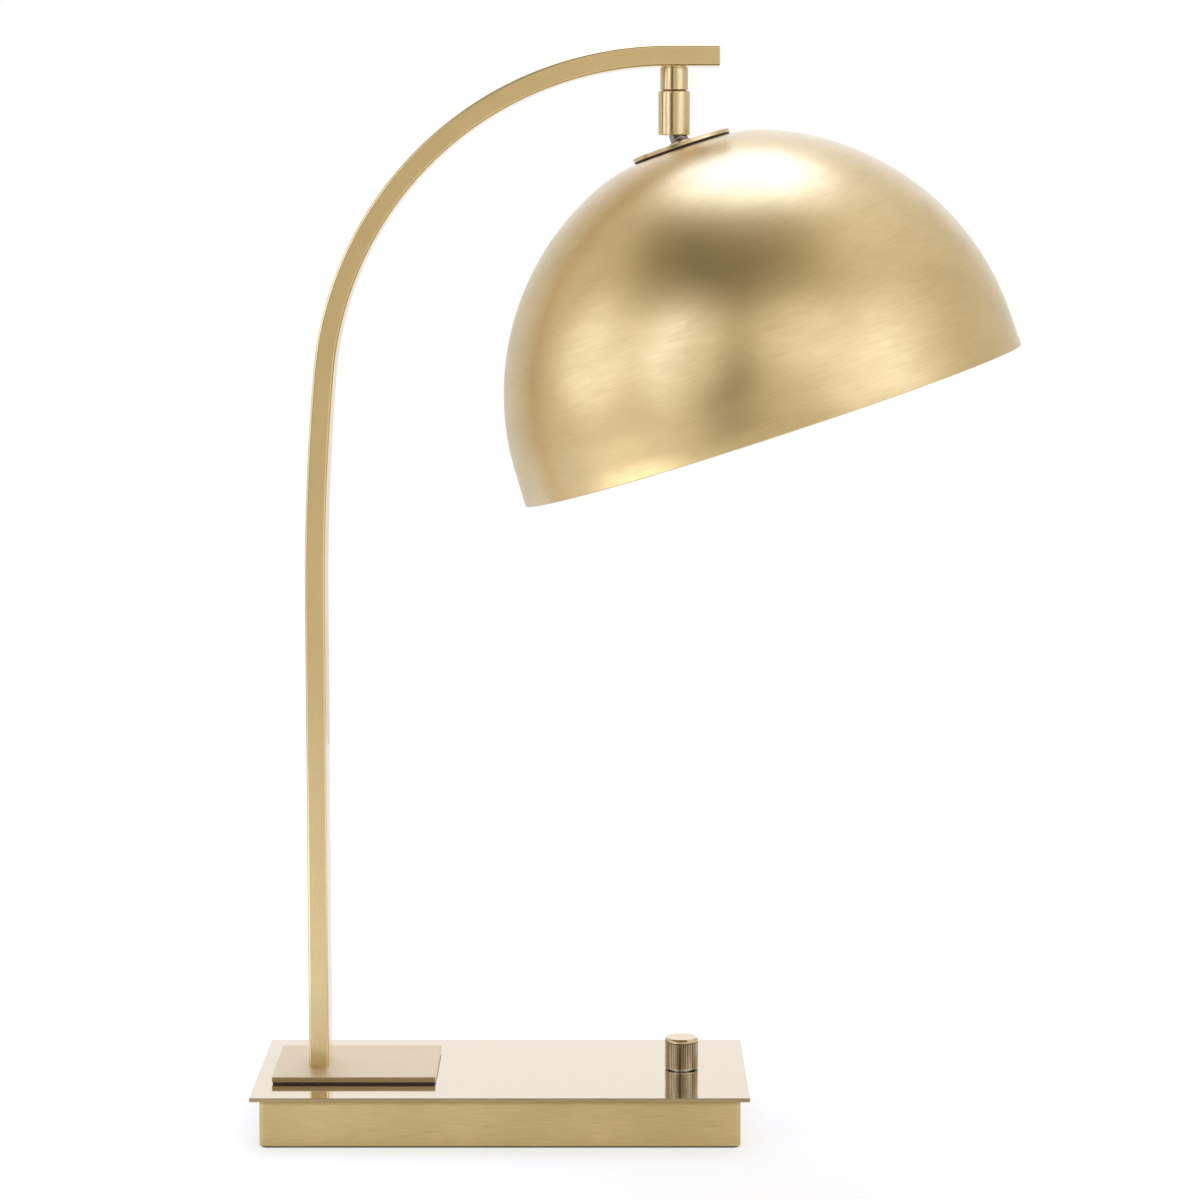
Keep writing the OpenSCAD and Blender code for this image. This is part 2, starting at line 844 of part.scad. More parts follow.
// Plug that closes the arm's free end: a face flush with the tube and a lip inside it
module arm_end_cap() {
    lip = 4;
    color(brass)
        translate([arm_end_x - end_cap_t, 0, lamp_h - arm_t / 2])
            rotate([0, 90, 0]) {
                linear_extrude(end_cap_t)
                    rounded_rect(arm_t, arm_d, arm_edge_r);
                translate([0, 0, -lip])
                    linear_extrude(lip)
                        rounded_rect(arm_inner_t - 2 * drop_fit, arm_inner_d - 2 * drop_fit, arm_inner_r);
            }
}

// Flex from the terminal block up the arm and down through the nipple to the ball
module arm_flex() {
    post_h = thousandths(ease_z - lead_z - base_bend_r);
    end_l = thousandths(swivel_x - flex_turn_r - bend_centre[0]);
    rise = [arm_outer_x + flex_offset + base_bend_r, ease_z - post_h];
    turn = [bend_centre[0] + end_l, lamp_h - flex_offset - flex_turn_r];
    drop_h = thousandths(turn[1] - ball_z - flex_end);
    color(black) {
        exactly_at(rise[0], rise[1] - base_bend_r)
            rotate([0, 90, 0])
                linear_extrude(thousandths(terminal_x - terminal_l / 2 - rise[0]))
                    circle(d = flex_d);
        bent_run(rise, base_bend_r, 180, 90)
            circle(d = flex_d);
        along_arm(flex_offset, post_h, end_l)
            circle(d = flex_d);
        bent_run(turn, flex_turn_r, 0, 90)
            circle(d = flex_d);
        exactly_at(turn[0] + flex_turn_r, turn[1])
            translate([0, 0, -drop_h])
                linear_extrude(drop_h)
                    circle(d = flex_d);
    }
}

// Swivel
module swivel_collar() {
    color(brass)
        translate([swivel_x, 0, 0])
            tube(collar_d / 2, nipple_d / 2 + thread_fit, collar_z, arm_under_z);
}

// Hollow bolt from the arm into the housing, its flange carrying the housing
module swivel_nipple() {
    color(steel)
        translate([swivel_x, 0, 0])
            difference() {
                union() {
                    translate([0, 0, flange_z])
                        cylinder(r = flange_r, h = flange_t);
                    translate([0, 0, flange_z])
                        cylinder(d = nipple_d, h = nipple_top_z - flange_z);
                }
                translate([0, 0, flange_z - cut])
                    cylinder(d = nipple_bore, h = nipple_top_z - flange_z + 2 * cut);
            }
}

module nipple_nut() {
    z0 = arm_under_z + arm_wall;
    color(steel)
        translate([swivel_x, 0, 0])
            hex_nut(nipple_nut_af, nipple_d / 2 + thread_fit, z0, z0 + nipple_nut_t);
}

module friction_washer() {
    color(black)
        translate([swivel_x, 0, 0])
            tube(washer_d / 2, nipple_d / 2 + thread_fit, collar_z - swivel_gap + run_fit, collar_z);
}

// Sleeve with a spherical seat that holds the ball from below and a flared mouth
module swivel_housing() {
    r = housing_d / 2;
    color(brass)
        translate([swivel_x, 0, ball_z])
            difference() {
                translate([0, 0, -ball_rise])
                    rotate_extrude()
                        housing_outline(r);
                cylinder(r = chamber_r, h = housing_h);
                sphere(r = seat_r);
                translate([0, 0, -ball_rise])
                    rotate_extrude()
                        polygon([
                            [0, -cut], [mouth_d / 2, -cut], [mouth_d / 2, 0],
                            [lip_r, ball_rise - lip_drop], [0, ball_rise - lip_drop]
                        ]);
            }
}

module housing_outline(r) {
    square([r, housing_h - shoulder_r]);
    square([r - shoulder_r, housing_h]);
    translate([r - shoulder_r, housing_h - shoulder_r])
        circle(shoulder_r);
}

// Threaded disc in the housing's top, turning on the nipple
module housing_cap() {
    color(aged_brass)
        translate([swivel_x, 0, 0])
            tube(chamber_r - thread_fit, nipple_d / 2 + run_fit, housing_cap_z, housing_top_z);
}

// Ring that the spring presses on the ball from above
module ball_seat() {
    color(white_insulation)
        translate([swivel_x, 0, ball_z])
            difference() {
                tube(chamber_r - drop_fit, seat_hole_r, seat_low, seat_high);
                sphere(r = seat_r);
            }
}

// Cone spring between the ball's seat and the nipple's flange
module seat_spring() {
    wide = chamber_r - drop_fit;
    narrow = seat_hole_r + 2 * drop_fit;
    color(steel)
        translate([swivel_x, 0, ball_z + seat_high])
            rotate_extrude()
                polygon([
                    [wide - spring_sheet, 0], [wide, 0], [wide, spring_sheet],
                    [narrow + spring_sheet, spring_t], [narrow, spring_t], [narrow, spring_t - spring_sheet]
                ]);
}

// Places the shade's pieces: z runs up the shade's own axis, from the ball's centre
module on_shade_axis() {
    translate([swivel_x, 0, ball_z])
        rotate([0, 0, shade_turn])
            rotate([0, -shade_tilt, 0])
                children();
}

// Hollow ball with a hex neck and a threaded stem
module swivel_ball() {
    color(dark_metal)
        on_shade_axis()
            difference() {
                union() {
                    intersection() {
                        sphere(r = ball_r);
                        translate([0, 0, ball_top - 2 * ball_d])
                            cylinder(r = ball_d, h = 2 * ball_d);
                    }
                    translate([0, 0, -neck_top - cut])
                        cylinder(r = stem_r - neck_waist, h = 2 * cut);
                    translate([0, 0, -ring_top])
                        linear_extrude(ring_top - neck_top)
                            hexagon(neck_af);
                    translate([0, 0, -stem_end])
                        cylinder(r = stem_r, h = stem_end - ring_top + cut);
                }
                translate([0, 0, -stem_end - cut])
                    cylinder(d = stem_bore, h = stem_end + ball_r + 2 * cut);
                rotate_extrude()
                    polygon([
                        [0, 0], [stem_bore / 2, 0], [funnel_r, ball_top], [funnel_r, ball_d], [0, ball_d]
                    ]);
            }
}

module stem_ring() {
    chamfer = 0.3;
    color(brass)
        on_shade_axis()
            translate([0, 0, -crown_drop])
                difference() {
                    rotate_extrude()
                        polygon([
                            [0, 0], [ring_d / 2, 0], [ring_d / 2, ring_h - chamfer],
                            [ring_d / 2 - chamfer, ring_h], [0, ring_h]
                        ]);
                    translate([0, 0, -cut])
                        cylinder(r = stem_hole_r, h = ring_h + 2 * cut);
                }
}

module crown_plate() {
    b = plate_bevel;
    color(brass)
        on_shade_axis()
            translate([0, 0, -gasket_top])
                difference() {
                    rotate_extrude($fn = 180)
                        polygon([
                            [0, 0], [crown_d / 2 - b, 0], [crown_d / 2, b], [crown_d / 2, crown_t - b],
                            [crown_d / 2 - b, crown_t], [0, crown_t]
                        ]);
                    translate([0, 0, -cut])
                        cylinder(r = stem_hole_r, h = crown_t + 2 * cut);
                }
}

module crown_gasket() {
    color(black)
        on_shade_axis()
            tube(crown_d / 2 - 0.7, stem_hole_r, -dome_top, -gasket_top);
}

// Spun dome: flat crown, dome arc and a slightly tapered skirt, open below
module shade() {
    color(brass)
        on_shade_axis()
            translate([0, 0, -rim_drop])
                difference() {
                    rotate_extrude($fn = 240)
                        shade_section();
                    translate([0, 0, dome_h - shade_wall - cut])
                        cylinder(r = stem_hole_r, h = shade_wall + 2 * cut);
                }
}

// Half section of the spun sheet, radius across and height above the rim up
module shade_section() {
    difference() {
        dome_outline(0);
        dome_outline(shade_wall);
    }
    translate([rim_r - shade_wall / 2, 0])
        circle(shade_wall / 2, $fn = 32);
}

// Filled half outline of the dome, drawn in by w from the outer face. The curve that eases the crown lies
// inside the dome's arc past the point where they meet, so the two overlap there
module dome_outline(w) {
    reach = w > 0 ? cut : 0;
    far = 2 * dome_h;
    ease = crown_ease_centre;
    polygon([
        [0, -reach], [rim_r - w / cos(skirt_taper) + reach * tan(skirt_taper), -reach],
        [dome_edge[0] - w / cos(skirt_taper), skirt_h], [0, skirt_h]
    ]);
    intersection() {
        translate(dome_centre)
            circle(dome_r - w, $fn = 360);
        polygon([
            [0, skirt_h], [far, skirt_h], [far, far],
            ease + far * [cos(dome_end_a), sin(dome_end_a)], ease, [0, ease[1]]
        ]);
    }
    intersection() {
        translate(ease)
            circle(crown_ease_r - w, $fn = 360);
        polygon([ease, [far, ease[1]], [far, far], [flat_r, far]]);
    }
    translate([0, ease[1]])
        square([flat_r, crown_ease_r - w]);
}

module crown_washer() {
    color(steel)
        on_shade_axis()
            tube(flat_r - crown_washer_margin, stem_hole_r, -nut_top, -washer_top);
}

module crown_nut() {
    color(steel)
        on_shade_axis()
            hex_nut(crown_nut_af, stem_hole_r, -cap_top, -nut_top);
}

// Lamp holder
module holder_cap() {
    r = holder_d / 2;
    w = holder_wall;
    neck_r = stem_r + holder_neck_wall;
    neck_y = holder_cap_l - holder_neck_wall;
    shoulder = [r * 0.8, holder_cap_l * 0.6];
    edge_y = holder_cap_l * 0.25;
    color(brass)
        on_shade_axis()
            translate([0, 0, -shell_top])
                rotate_extrude()
                    polygon([
                        [stem_hole_r, holder_cap_l], [neck_r, holder_cap_l], [neck_r, neck_y], shoulder,
                        [r, edge_y], [r, 0], [r - w, 0], [r - w, edge_y - w / 3],
                        [shoulder[0] - w * 0.8, shoulder[1] - w], [neck_r - w, neck_y - w],
                        [neck_r - w, holder_cap_l - stem_bite], [stem_hole_r, holder_cap_l - stem_bite]
                    ]);
}

module holder_shell() {
    color(brass)
        on_shade_axis()
            tube(holder_d / 2, holder_d / 2 - holder_wall, -shell_top - holder_shell_l, -shell_top);
}

module holder_insulator() {
    color(white_insulation)
        on_shade_axis()
            tube(holder_d / 2 - holder_wall - drop_fit, flex_d / 2 + thread_fit, -contact_top, -shell_top);
}

module screw_shell() {
    r = screw_shell_d / 2;
    color(steel)
        on_shade_axis()
            tube(r + screw_shell_wall, r, -contact_top - screw_shell_l, -contact_top);
}

module centre_contact() {
    color(brass)
        on_shade_axis()
            translate([0, 0, -bulb_top])
                cylinder(r = contact_r, h = contact_t);
}

module holder_flex() {
    color(black)
        on_shade_axis()
            translate([0, 0, -contact_top])
                cylinder(d = flex_d, h = contact_top - flex_end);
}

// Thin metal cap, closed at its contact by a thick insulating end
module bulb_cap() {
    r = bulb_cap_d / 2;
    inner_r = r - bulb_cap_wall;
    color(steel)
        on_shade_axis()
            translate([0, 0, -bulb_top])
                rotate_extrude()
                    polygon([
                        [0, 0], [bulb_button_r, 0], [r * 0.8, -3], [r, -5], [r, -bulb_cap_l],
                        [inner_r, -bulb_cap_l], [inner_r, -5.5], [r * 0.7, -4], [0, -4]
                    ]);
}

// Bulb: a thin neck, seated in the cap, that widens into a ball
module bulb_glass() {
    color(glass_tint)
        on_shade_axis()
            translate([0, 0, -bulb_centre])
                rotate_extrude()
                    difference() {
                        bulb_outline(0);
                        bulb_outline(bulb_wall);
                    }
}

// Filled half outline of the bulb, drawn in by w, with y = 0 at the ball's centre
module bulb_outline(w) {
    r = bulb_d / 2 - w;
    neck_r = bulb_cap_d / 2 - bulb_cap_wall - drop_fit - w;
    neck_y = bulb_centre - bulb_top - bulb_cap_l;
    neck_end = neck_y + bulb_cap_l / 3 + (w > 0 ? cut : 0);
    intersection() {
        circle(r);
        translate([0, -2 * r])
            square([2 * r, 4 * r]);
    }
    polygon([
        [0, 0], [r * cos(bulb_shoulder_a), r * sin(bulb_shoulder_a)], [neck_r + 1, neck_y - 6],
        [neck_r, neck_y], [neck_r, neck_end], [0, neck_end]
    ]);
}

base_box();
top_plate();
bottom_cover();
cover_blocks();
cover_screws();
felt_pad();
counterweight();
weight_screws();
cord_bushing();
bushing_nut();
terminal_block();
inner_leads();
dimmer_body();
dimmer_washer();
dimmer_nut();
foot_gasket();
foot_plate();
foot_screws();
arm_screws();
arm_insert();
arm_tube();
arm_flex();
arm_end_cap();
swivel_collar();
swivel_nipple();
nipple_nut();
friction_washer();
dimmer_knob();
dimmer_shaft();
swivel_housing();
housing_cap();
ball_seat();
seat_spring();
swivel_ball();
stem_ring();
crown_plate();
crown_gasket();
shade();
crown_washer();
crown_nut();
holder_cap();
holder_shell();
holder_insulator();
screw_shell();
centre_contact();
holder_flex();
bulb_cap();
bulb_glass();
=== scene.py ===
# Looks of the brass desk lamp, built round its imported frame. Metres, +Z up, the camera looks along +Y.
import json
import math

import bmesh
import bpy
from mathutils import Matrix, Vector


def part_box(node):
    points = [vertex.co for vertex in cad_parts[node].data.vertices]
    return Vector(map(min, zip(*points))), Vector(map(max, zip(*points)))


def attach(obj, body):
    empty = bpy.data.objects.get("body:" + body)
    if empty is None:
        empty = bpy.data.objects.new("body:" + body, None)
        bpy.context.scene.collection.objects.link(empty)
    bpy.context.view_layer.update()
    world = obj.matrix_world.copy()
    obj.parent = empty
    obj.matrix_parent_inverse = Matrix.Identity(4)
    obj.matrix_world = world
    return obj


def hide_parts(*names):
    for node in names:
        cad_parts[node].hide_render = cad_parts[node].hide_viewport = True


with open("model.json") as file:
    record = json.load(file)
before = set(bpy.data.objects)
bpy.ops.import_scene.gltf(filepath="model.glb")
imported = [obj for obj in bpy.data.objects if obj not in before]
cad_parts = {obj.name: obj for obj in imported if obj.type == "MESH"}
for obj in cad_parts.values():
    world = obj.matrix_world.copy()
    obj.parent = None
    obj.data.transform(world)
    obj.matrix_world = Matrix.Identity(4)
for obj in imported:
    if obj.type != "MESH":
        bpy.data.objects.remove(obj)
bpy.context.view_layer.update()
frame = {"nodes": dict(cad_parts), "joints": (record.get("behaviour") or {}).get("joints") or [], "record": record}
mm = 0.001
weldGap = 0.002 * mm
smoothAngle = math.radians(32)
nearAxis = 0.9      # cosine from which an edge or a normal counts as lying along an axis
cutterSides = 72
selectModes = {"verts": "VERT", "edges": "EDGE", "faces": "FACE"}


# Small helpers for work in object mode and in edit mode
def jointNamed(name):
    return next(joint for joint in frame["joints"] if joint["name"] == name)


def boxCentre(node):
    low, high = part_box(node)
    return (low + high) / 2


def deselectAll():
    bpy.ops.object.select_all(action="DESELECT")


def makeActive(piece):
    deselectAll()
    piece.select_set(True)
    bpy.context.view_layer.objects.active = piece


def openPiece(piece):
    makeActive(piece)
    bpy.ops.object.mode_set(mode="EDIT")


def closePiece():
    bpy.ops.object.mode_set(mode="OBJECT")


def centreOf(part):
    if isinstance(part, bmesh.types.BMVert):
        return part.co.copy()
    if isinstance(part, bmesh.types.BMEdge):
        return (part.verts[0].co + part.verts[1].co) / 2
    return part.calc_center_median()


def pick(piece, kind, test):
    bpy.ops.mesh.select_mode(type=selectModes[kind])
    mesh = bmesh.from_edit_mesh(piece.data)
    for part in (*mesh.verts, *mesh.edges, *mesh.faces):
        part.select_set(False)
    for part in getattr(mesh, kind):
        if test(part, centreOf(part)):
            part.select_set(True)
    mesh.select_flush_mode()
    bmesh.update_edit_mesh(piece.data)


def edgeAlong(axis):
    def test(edge, centre):
        run = edge.verts[1].co - edge.verts[0].co
        return abs(run[axis]) > nearAxis * run.length
    return test


def smoothPiece(piece, angle=smoothAngle):
    makeActive(piece)
    bpy.ops.object.shade_smooth_by_angle(angle=angle)


def applyModifier(piece, kind, **settings):
    makeActive(piece)
    modifier = piece.modifiers.new(kind.lower(), kind)
    for name, value in settings.items():
        setattr(modifier, name, value)
    bpy.ops.object.modifier_apply(modifier=modifier.name)


# Flat faces keep their own normal where a round edge meets them
def evenNormals(piece):
    applyModifier(piece, "WEIGHTED_NORMAL", weight=100, keep_sharp=True)


def applyPlace():
    bpy.ops.object.transform_apply(location=True, rotation=True, scale=True)


def setInPlace(piece, place):
    makeActive(piece)
    piece.matrix_world = place @ piece.matrix_world
    applyPlace()


def nameNewest(name):
    piece = bpy.context.object
    piece.name = name
    piece.data.name = name
    return piece


def blockOf(name, low, high):
    deselectAll()
    bpy.ops.mesh.primitive_cube_add(size=1, location=(low + high) / 2, scale=high - low)
    applyPlace()
    return nameNewest(name)


def roundCutter(centre, radius, depth, turn=(0, 0, 0)):
    deselectAll()
    bpy.ops.mesh.primitive_cylinder_add(vertices=cutterSides, radius=radius, depth=depth,
                                        location=centre, rotation=turn)
    return bpy.context.object


def cutAway(piece, cutter, operation="DIFFERENCE"):
    applyModifier(piece, "BOOLEAN", operation=operation, solver="EXACT", object=cutter)
    bpy.data.objects.remove(cutter, do_unlink=True)


def joinSolids(piece, other):
    cutAway(piece, other, "UNION")


# Turned piece: an outline in the XZ plane, drawn by lines and arcs, is spun about Z.
# A line is ("to", x, z) and an arc is ("round", centre, degrees, steps), anticlockwise from the front.
def turnedPiece(name, start, outline, around=96):
    deselectAll()
    bpy.ops.mesh.primitive_plane_add(size=mm)
    piece = nameNewest(name)
    openPiece(piece)
    bpy.ops.mesh.select_mode(type="VERT")
    bpy.ops.mesh.select_all(action="SELECT")
    bpy.ops.mesh.merge(type="CENTER")
    bpy.ops.transform.translate(value=(start[0], 0, start[1]))
    here = Vector(start)
    for step in outline:
        if step[0] == "to":
            there = Vector(step[1:])
            move = there - here
            bpy.ops.mesh.extrude_region_move(TRANSFORM_OT_translate={"value": (move.x, 0, move.y)})
            here = there
        else:
            middle, angle, steps = Vector(step[1]), math.radians(step[2]), step[3]
            bpy.ops.mesh.spin(steps=steps, angle=angle, center=(middle.x, 0, middle.y), axis=(0, 1, 0))
            here = middle + Matrix.Rotation(angle, 2) @ (here - middle)
    bpy.ops.mesh.select_all(action="SELECT")
    bpy.ops.mesh.remove_doubles(threshold=weldGap)
    bpy.ops.mesh.spin(steps=around, angle=2 * math.pi, center=(0, 0, 0), axis=(0, 0, 1))
    bpy.ops.mesh.select_all(action="SELECT")
    bpy.ops.mesh.remove_doubles(threshold=weldGap)
    bpy.ops.mesh.normals_make_consistent(inside=False)
    closePiece()
    return piece


# A vector on each point that a brushed pattern follows: slow along the brushing, fast across it
def addGrain(piece, rule):
    grain = piece.data.attributes.new("grain", "FLOAT_VECTOR", "POINT")
    for point, vert in zip(grain.data, piece.data.vertices):
        point.vector = rule(vert.co)


def finishPiece(piece, material, body, slot, *nodes):
    piece.data.materials.clear()
    piece.data.materials.append(material)
    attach(piece, body)
    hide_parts(*nodes)


deselectAll()
print("frame loaded,", len(frame["nodes"]), "nodes")

# Camera, at the photograph's place
cameraLook = {
    "place": (0.0509, -1.8158, 0.4774),
    "pitch": math.radians(83.608),
    "lens": 106.11,
    "sensor": 36,
    "reach": 50,
}
bpy.ops.object.camera_add(location=cameraLook["place"], rotation=(cameraLook["pitch"], 0, 0))
camera = bpy.context.object
camera.data.lens = cameraLook["lens"]
camera.data.sensor_width = cameraLook["sensor"]
camera.data.clip_end = cameraLook["reach"]
bpy.context.scene.camera = camera
bpy.context.scene.view_settings.view_transform = "Standard"


# Small helpers for node trees
def addNode(tree, kind, inputs=(), **settings):
    node = tree.nodes.new("ShaderNode" + kind)
    for name, value in settings.items():
        setattr(node, name, value)
    for name, value in dict(inputs).items():
        node.inputs[name].default_value = value
    return node


def calculate(tree, operation, *terms):
    node = addNode(tree, "Math", operation=operation)
    for socket, term in zip(node.inputs, terms):
        if isinstance(term, bpy.types.NodeSocket):
            tree.links.new(term, socket)
        else:
            socket.default_value = term
    return node.outputs["Value"]


def remap(tree, value, before, after, soft=False):
    node = addNode(tree, "MapRange", {
        "From Min": before[0], "From Max": before[1], "To Min": after[0], "To Max": after[1],
    }, interpolation_type="SMOOTHERSTEP" if soft else "LINEAR")
    tree.links.new(value, node.inputs["Value"])
    return node.outputs["Result"]


def stretched(tree, place, scale):
    node = addNode(tree, "Mapping", {"Scale": scale})
    tree.links.new(place, node.inputs["Vector"])
    return node.outputs["Vector"]


def noiseOn(tree, place, scale, detail, rough):
    node = addNode(tree, "TexNoise", {"Scale": scale, "Detail": detail, "Roughness": rough})
    tree.links.new(place, node.inputs["Vector"])
    return node.outputs["Fac"]


# 1 for what the eye sees, straight or through glass
def seenByEye(tree, rays):
    straight, throughGlass = rays.outputs["Is Camera Ray"], rays.outputs["Is Transmission Ray"]
    return calculate(tree, "MAXIMUM", straight, throughGlass)


# Studio: soft lobes of light in a dim room. Azimuth 0 is the camera's side, 90 the right, 180 behind.
# A lobe is whole within "inner" degrees and gone at "outer"; a negative one is a dark panel.
# Dim parts are a little warm and bright ones white: green and blue are each
# level * (first * level + second), with red as the level.
studioLook = {
    "room": 0.76,
    "green": (0.13, 0.855),
    "blue": (0.50, 0.47),
    "lobes": [
        {"azimuth": -174, "height": 69, "inner": 2, "outer": 28, "level": 1.7},
        {"azimuth": -38, "height": 18, "inner": 2, "outer": 28, "level": 1.42},
        {"azimuth": 46, "height": 15, "inner": 2, "outer": 31, "level": 0.65},
        {"azimuth": 12, "height": 30, "inner": 0, "outer": 24, "level": 0.54},
        {"azimuth": 176, "height": 19, "inner": 1, "outer": 31, "level": 0.3},
        {"azimuth": -84, "height": 11, "inner": 1, "outer": 26, "level": 0.83},
        {"azimuth": 123, "height": 76, "inner": 6, "outer": 51, "level": 0.25},
        {"azimuth": -25, "height": 12, "inner": 0, "outer": 24, "level": -1.12},
        {"azimuth": -33, "height": 67, "inner": 9, "outer": 48, "level": -0.62},
        {"azimuth": 69, "height": 20, "inner": 1, "outer": 27, "level": 0.36},
    ],
}


def skyDirection(azimuth, height):
    a, h = math.radians(azimuth), math.radians(height)
    return (math.sin(a) * math.cos(h), -math.cos(a) * math.cos(h), math.sin(h))


def buildStudio(look):
    world = bpy.data.worlds.new("studio")
    bpy.context.scene.world = world
    world.use_nodes = True
    tree = world.node_tree
    tree.nodes.clear()
    join = tree.links.new
    direction = addNode(tree, "TexCoord").outputs["Generated"]
    level = look["room"]
    for lobe in look["lobes"]:
        dot = addNode(tree, "VectorMath", operation="DOT_PRODUCT")
        join(direction, dot.inputs[0])
        dot.inputs[1].default_value = skyDirection(lobe["azimuth"], lobe["height"])
        edges = [math.cos(math.radians(lobe[edge])) for edge in ("outer", "inner")]
        fade = remap(tree, dot.outputs["Value"], edges, (0, lobe["level"]), soft=True)
        level = calculate(tree, "ADD", fade, level)
    level = calculate(tree, "MAXIMUM", level, 0)
    tone = addNode(tree, "CombineColor")
    join(level, tone.inputs["Red"])
    for channel in ("green", "blue"):
        share = calculate(tree, "MULTIPLY_ADD", level, *look[channel])
        join(calculate(tree, "MULTIPLY", share, level), tone.inputs[channel.capitalize()])
    room = addNode(tree, "Background")
    join(tone.outputs["Color"], room.inputs["Color"])
    white = addNode(tree, "Background", {"Color": (1, 1, 1, 1)})
    mix = addNode(tree, "MixShader")
    out = addNode(tree, "OutputWorld")
    join(seenByEye(tree, addNode(tree, "LightPath")), mix.inputs["Fac"])
    join(room.outputs["Background"], mix.inputs[1])
    join(white.outputs["Background"], mix.inputs[2])
    join(mix.outputs["Shader"], out.inputs["Surface"])


buildStudio(studioLook)

# Pale floor: it glows white where nothing shades it, and a share of plain reflection keeps the shadow.
# What the brass mirrors of it is dimmer, with pools of light beside and in front of the lamp.
floorLook = {
    "radius": 1.3,
    "sides": 128,
    "glow": 0.6,
    "albedo": 0.5,
    "mirrored": 0.42,
    "pools": [
        {"centre": (-0.55, -0.45, 0), "reach": 0.55, "level": 1.9},
        {"centre": (0.45, -0.45, 0), "reach": 0.4, "level": 0.9},
        {"centre": (0.75, 0, 0), "reach": 0.5, "level": 1.0},
    ],
}


def buildFloor(look):
    deselectAll()
    bpy.ops.mesh.primitive_circle_add(vertices=look["sides"], radius=look["radius"], fill_type="NGON")
    floor = nameNewest("studioFloor")
    material = bpy.data.materials.new("floorWhite")
    material.use_nodes = True
    tree = material.node_tree
    tree.nodes.clear()
    join = tree.links.new
    place = addNode(tree, "TexCoord").outputs["Object"]
    mirrored = look["mirrored"]
    for pool in look["pools"]:
        away = addNode(tree, "VectorMath", operation="DISTANCE")
        away.inputs[1].default_value = pool["centre"]
        join(place, away.inputs[0])
        light = remap(tree, away.outputs["Value"], (0, pool["reach"]), (pool["level"], 0), soft=True)
        mirrored = calculate(tree, "ADD", light, mirrored)
    rays = addNode(tree, "LightPath")
    plain = calculate(tree, "MULTIPLY", seenByEye(tree, rays), look["glow"])
    strength = calculate(tree, "MULTIPLY_ADD", rays.outputs["Is Glossy Ray"], mirrored, plain)
    glow = addNode(tree, "Emission", {"Color": (1, 1, 1, 1)})
    join(strength, glow.inputs["Strength"])
    matt = addNode(tree, "BsdfDiffuse", {"Color": (look["albedo"],) * 3 + (1,)})
    both = addNode(tree, "AddShader")
    out = addNode(tree, "OutputMaterial")
    join(glow.outputs["Emission"], both.inputs[0])
    join(matt.outputs["BSDF"], both.inputs[1])
    join(both.outputs["Shader"], out.inputs["Surface"])
    floor.data.materials.append(material)


buildFloor(floorLook)
print("camera and studio set")


# Materials. Each is a light tone that turns darker and rougher by a pattern; the streaks make its bump.
def newMaterial(name):
    material = bpy.data.materials.new(name)
    material.use_nodes = True
    return material, material.node_tree, material.node_tree.nodes["Principled BSDF"]


def dressSurface(tree, shader, look, tone, streaks):
    join = tree.links.new
    ramp = addNode(tree, "ValToRGB")
    for element, spot, end in zip(ramp.color_ramp.elements, look["spots"], ("light", "dark")):
        element.position = spot
        element.color = (*look[end], 1)
    join(tone, ramp.inputs["Fac"])
    join(ramp.outputs["Color"], shader.inputs["Base Color"])
    join(remap(tree, tone, look["roughFrom"], look["roughness"]), shader.inputs["Roughness"])
    if streaks is not None:
        bump = addNode(tree, "Bump", {"Strength": look["bump"], "Distance": look["depth"]})
        join(streaks, bump.inputs["Height"])
        join(bump.outputs["Normal"], shader.inputs["Normal"])


# What every brass shares. It darkens along its brushing and in soft patches, under a clear lacquer.
brassLook = {
    "stretch": (1, 1, 1), "streakDetail": 4, "streakRough": 0.65,
    "patchDetail": 5, "patchRough": 0.6, "patchFrom": (0.38, 0.68), "cornerShare": 0.8,
    "spots": (0, 1), "roughFrom": (0.25, 0.8), "depth": 0.02 * mm, "lacquer": 1, "lacquerRough": 0.12,
}


def brassFinish(name, own):
    look = {**brassLook, **own}
    material, tree, shader = newMaterial(name)
    place = addNode(tree, "TexCoord").outputs["Object"]
    grain = place
    if "brushed" in look:  # the pattern follows the piece's own grain
        grain = addNode(tree, "Attribute", attribute_name="grain").outputs["Vector"]
    run = stretched(tree, grain, look["stretch"])
    streaks = noiseOn(tree, run, 1, look["streakDetail"], look["streakRough"])
    drawn = stretched(tree, grain, look["patchStretch"]) if "patchStretch" in look else place
    patches = noiseOn(tree, drawn, look["patchScale"], look["patchDetail"], look["patchRough"])
    worn = remap(tree, patches, look["patchFrom"], (0, look["patchShare"]))
    tone = calculate(tree, "MULTIPLY_ADD", streaks, look["streakShare"], worn)
    if "crevice" in look:  # painted shade and grime in the flutes, by an attribute that is 1 at their bottom
        shadeAndGrime = addNode(tree, "Attribute", attribute_name="crevice").outputs["Fac"]
        tone = calculate(tree, "MULTIPLY_ADD", shadeAndGrime, look["crevice"], tone)
    if "corner" in look:  # painted shade under an overhang, darker from one height up to another
        parts = addNode(tree, "SeparateXYZ")
        tree.links.new(place, parts.inputs[0])
        shadeAndGrime = remap(tree, parts.outputs["Z"], look["corner"], (0, look["cornerShare"]), soft=True)
        tone = calculate(tree, "ADD", shadeAndGrime, tone)
    dressSurface(tree, shader, look, tone, streaks)
    shader.inputs["Metallic"].default_value = 1
    shader.inputs["Coat Weight"].default_value = look["lacquer"]
    shader.inputs["Coat Roughness"].default_value = look["lacquerRough"]
    return material


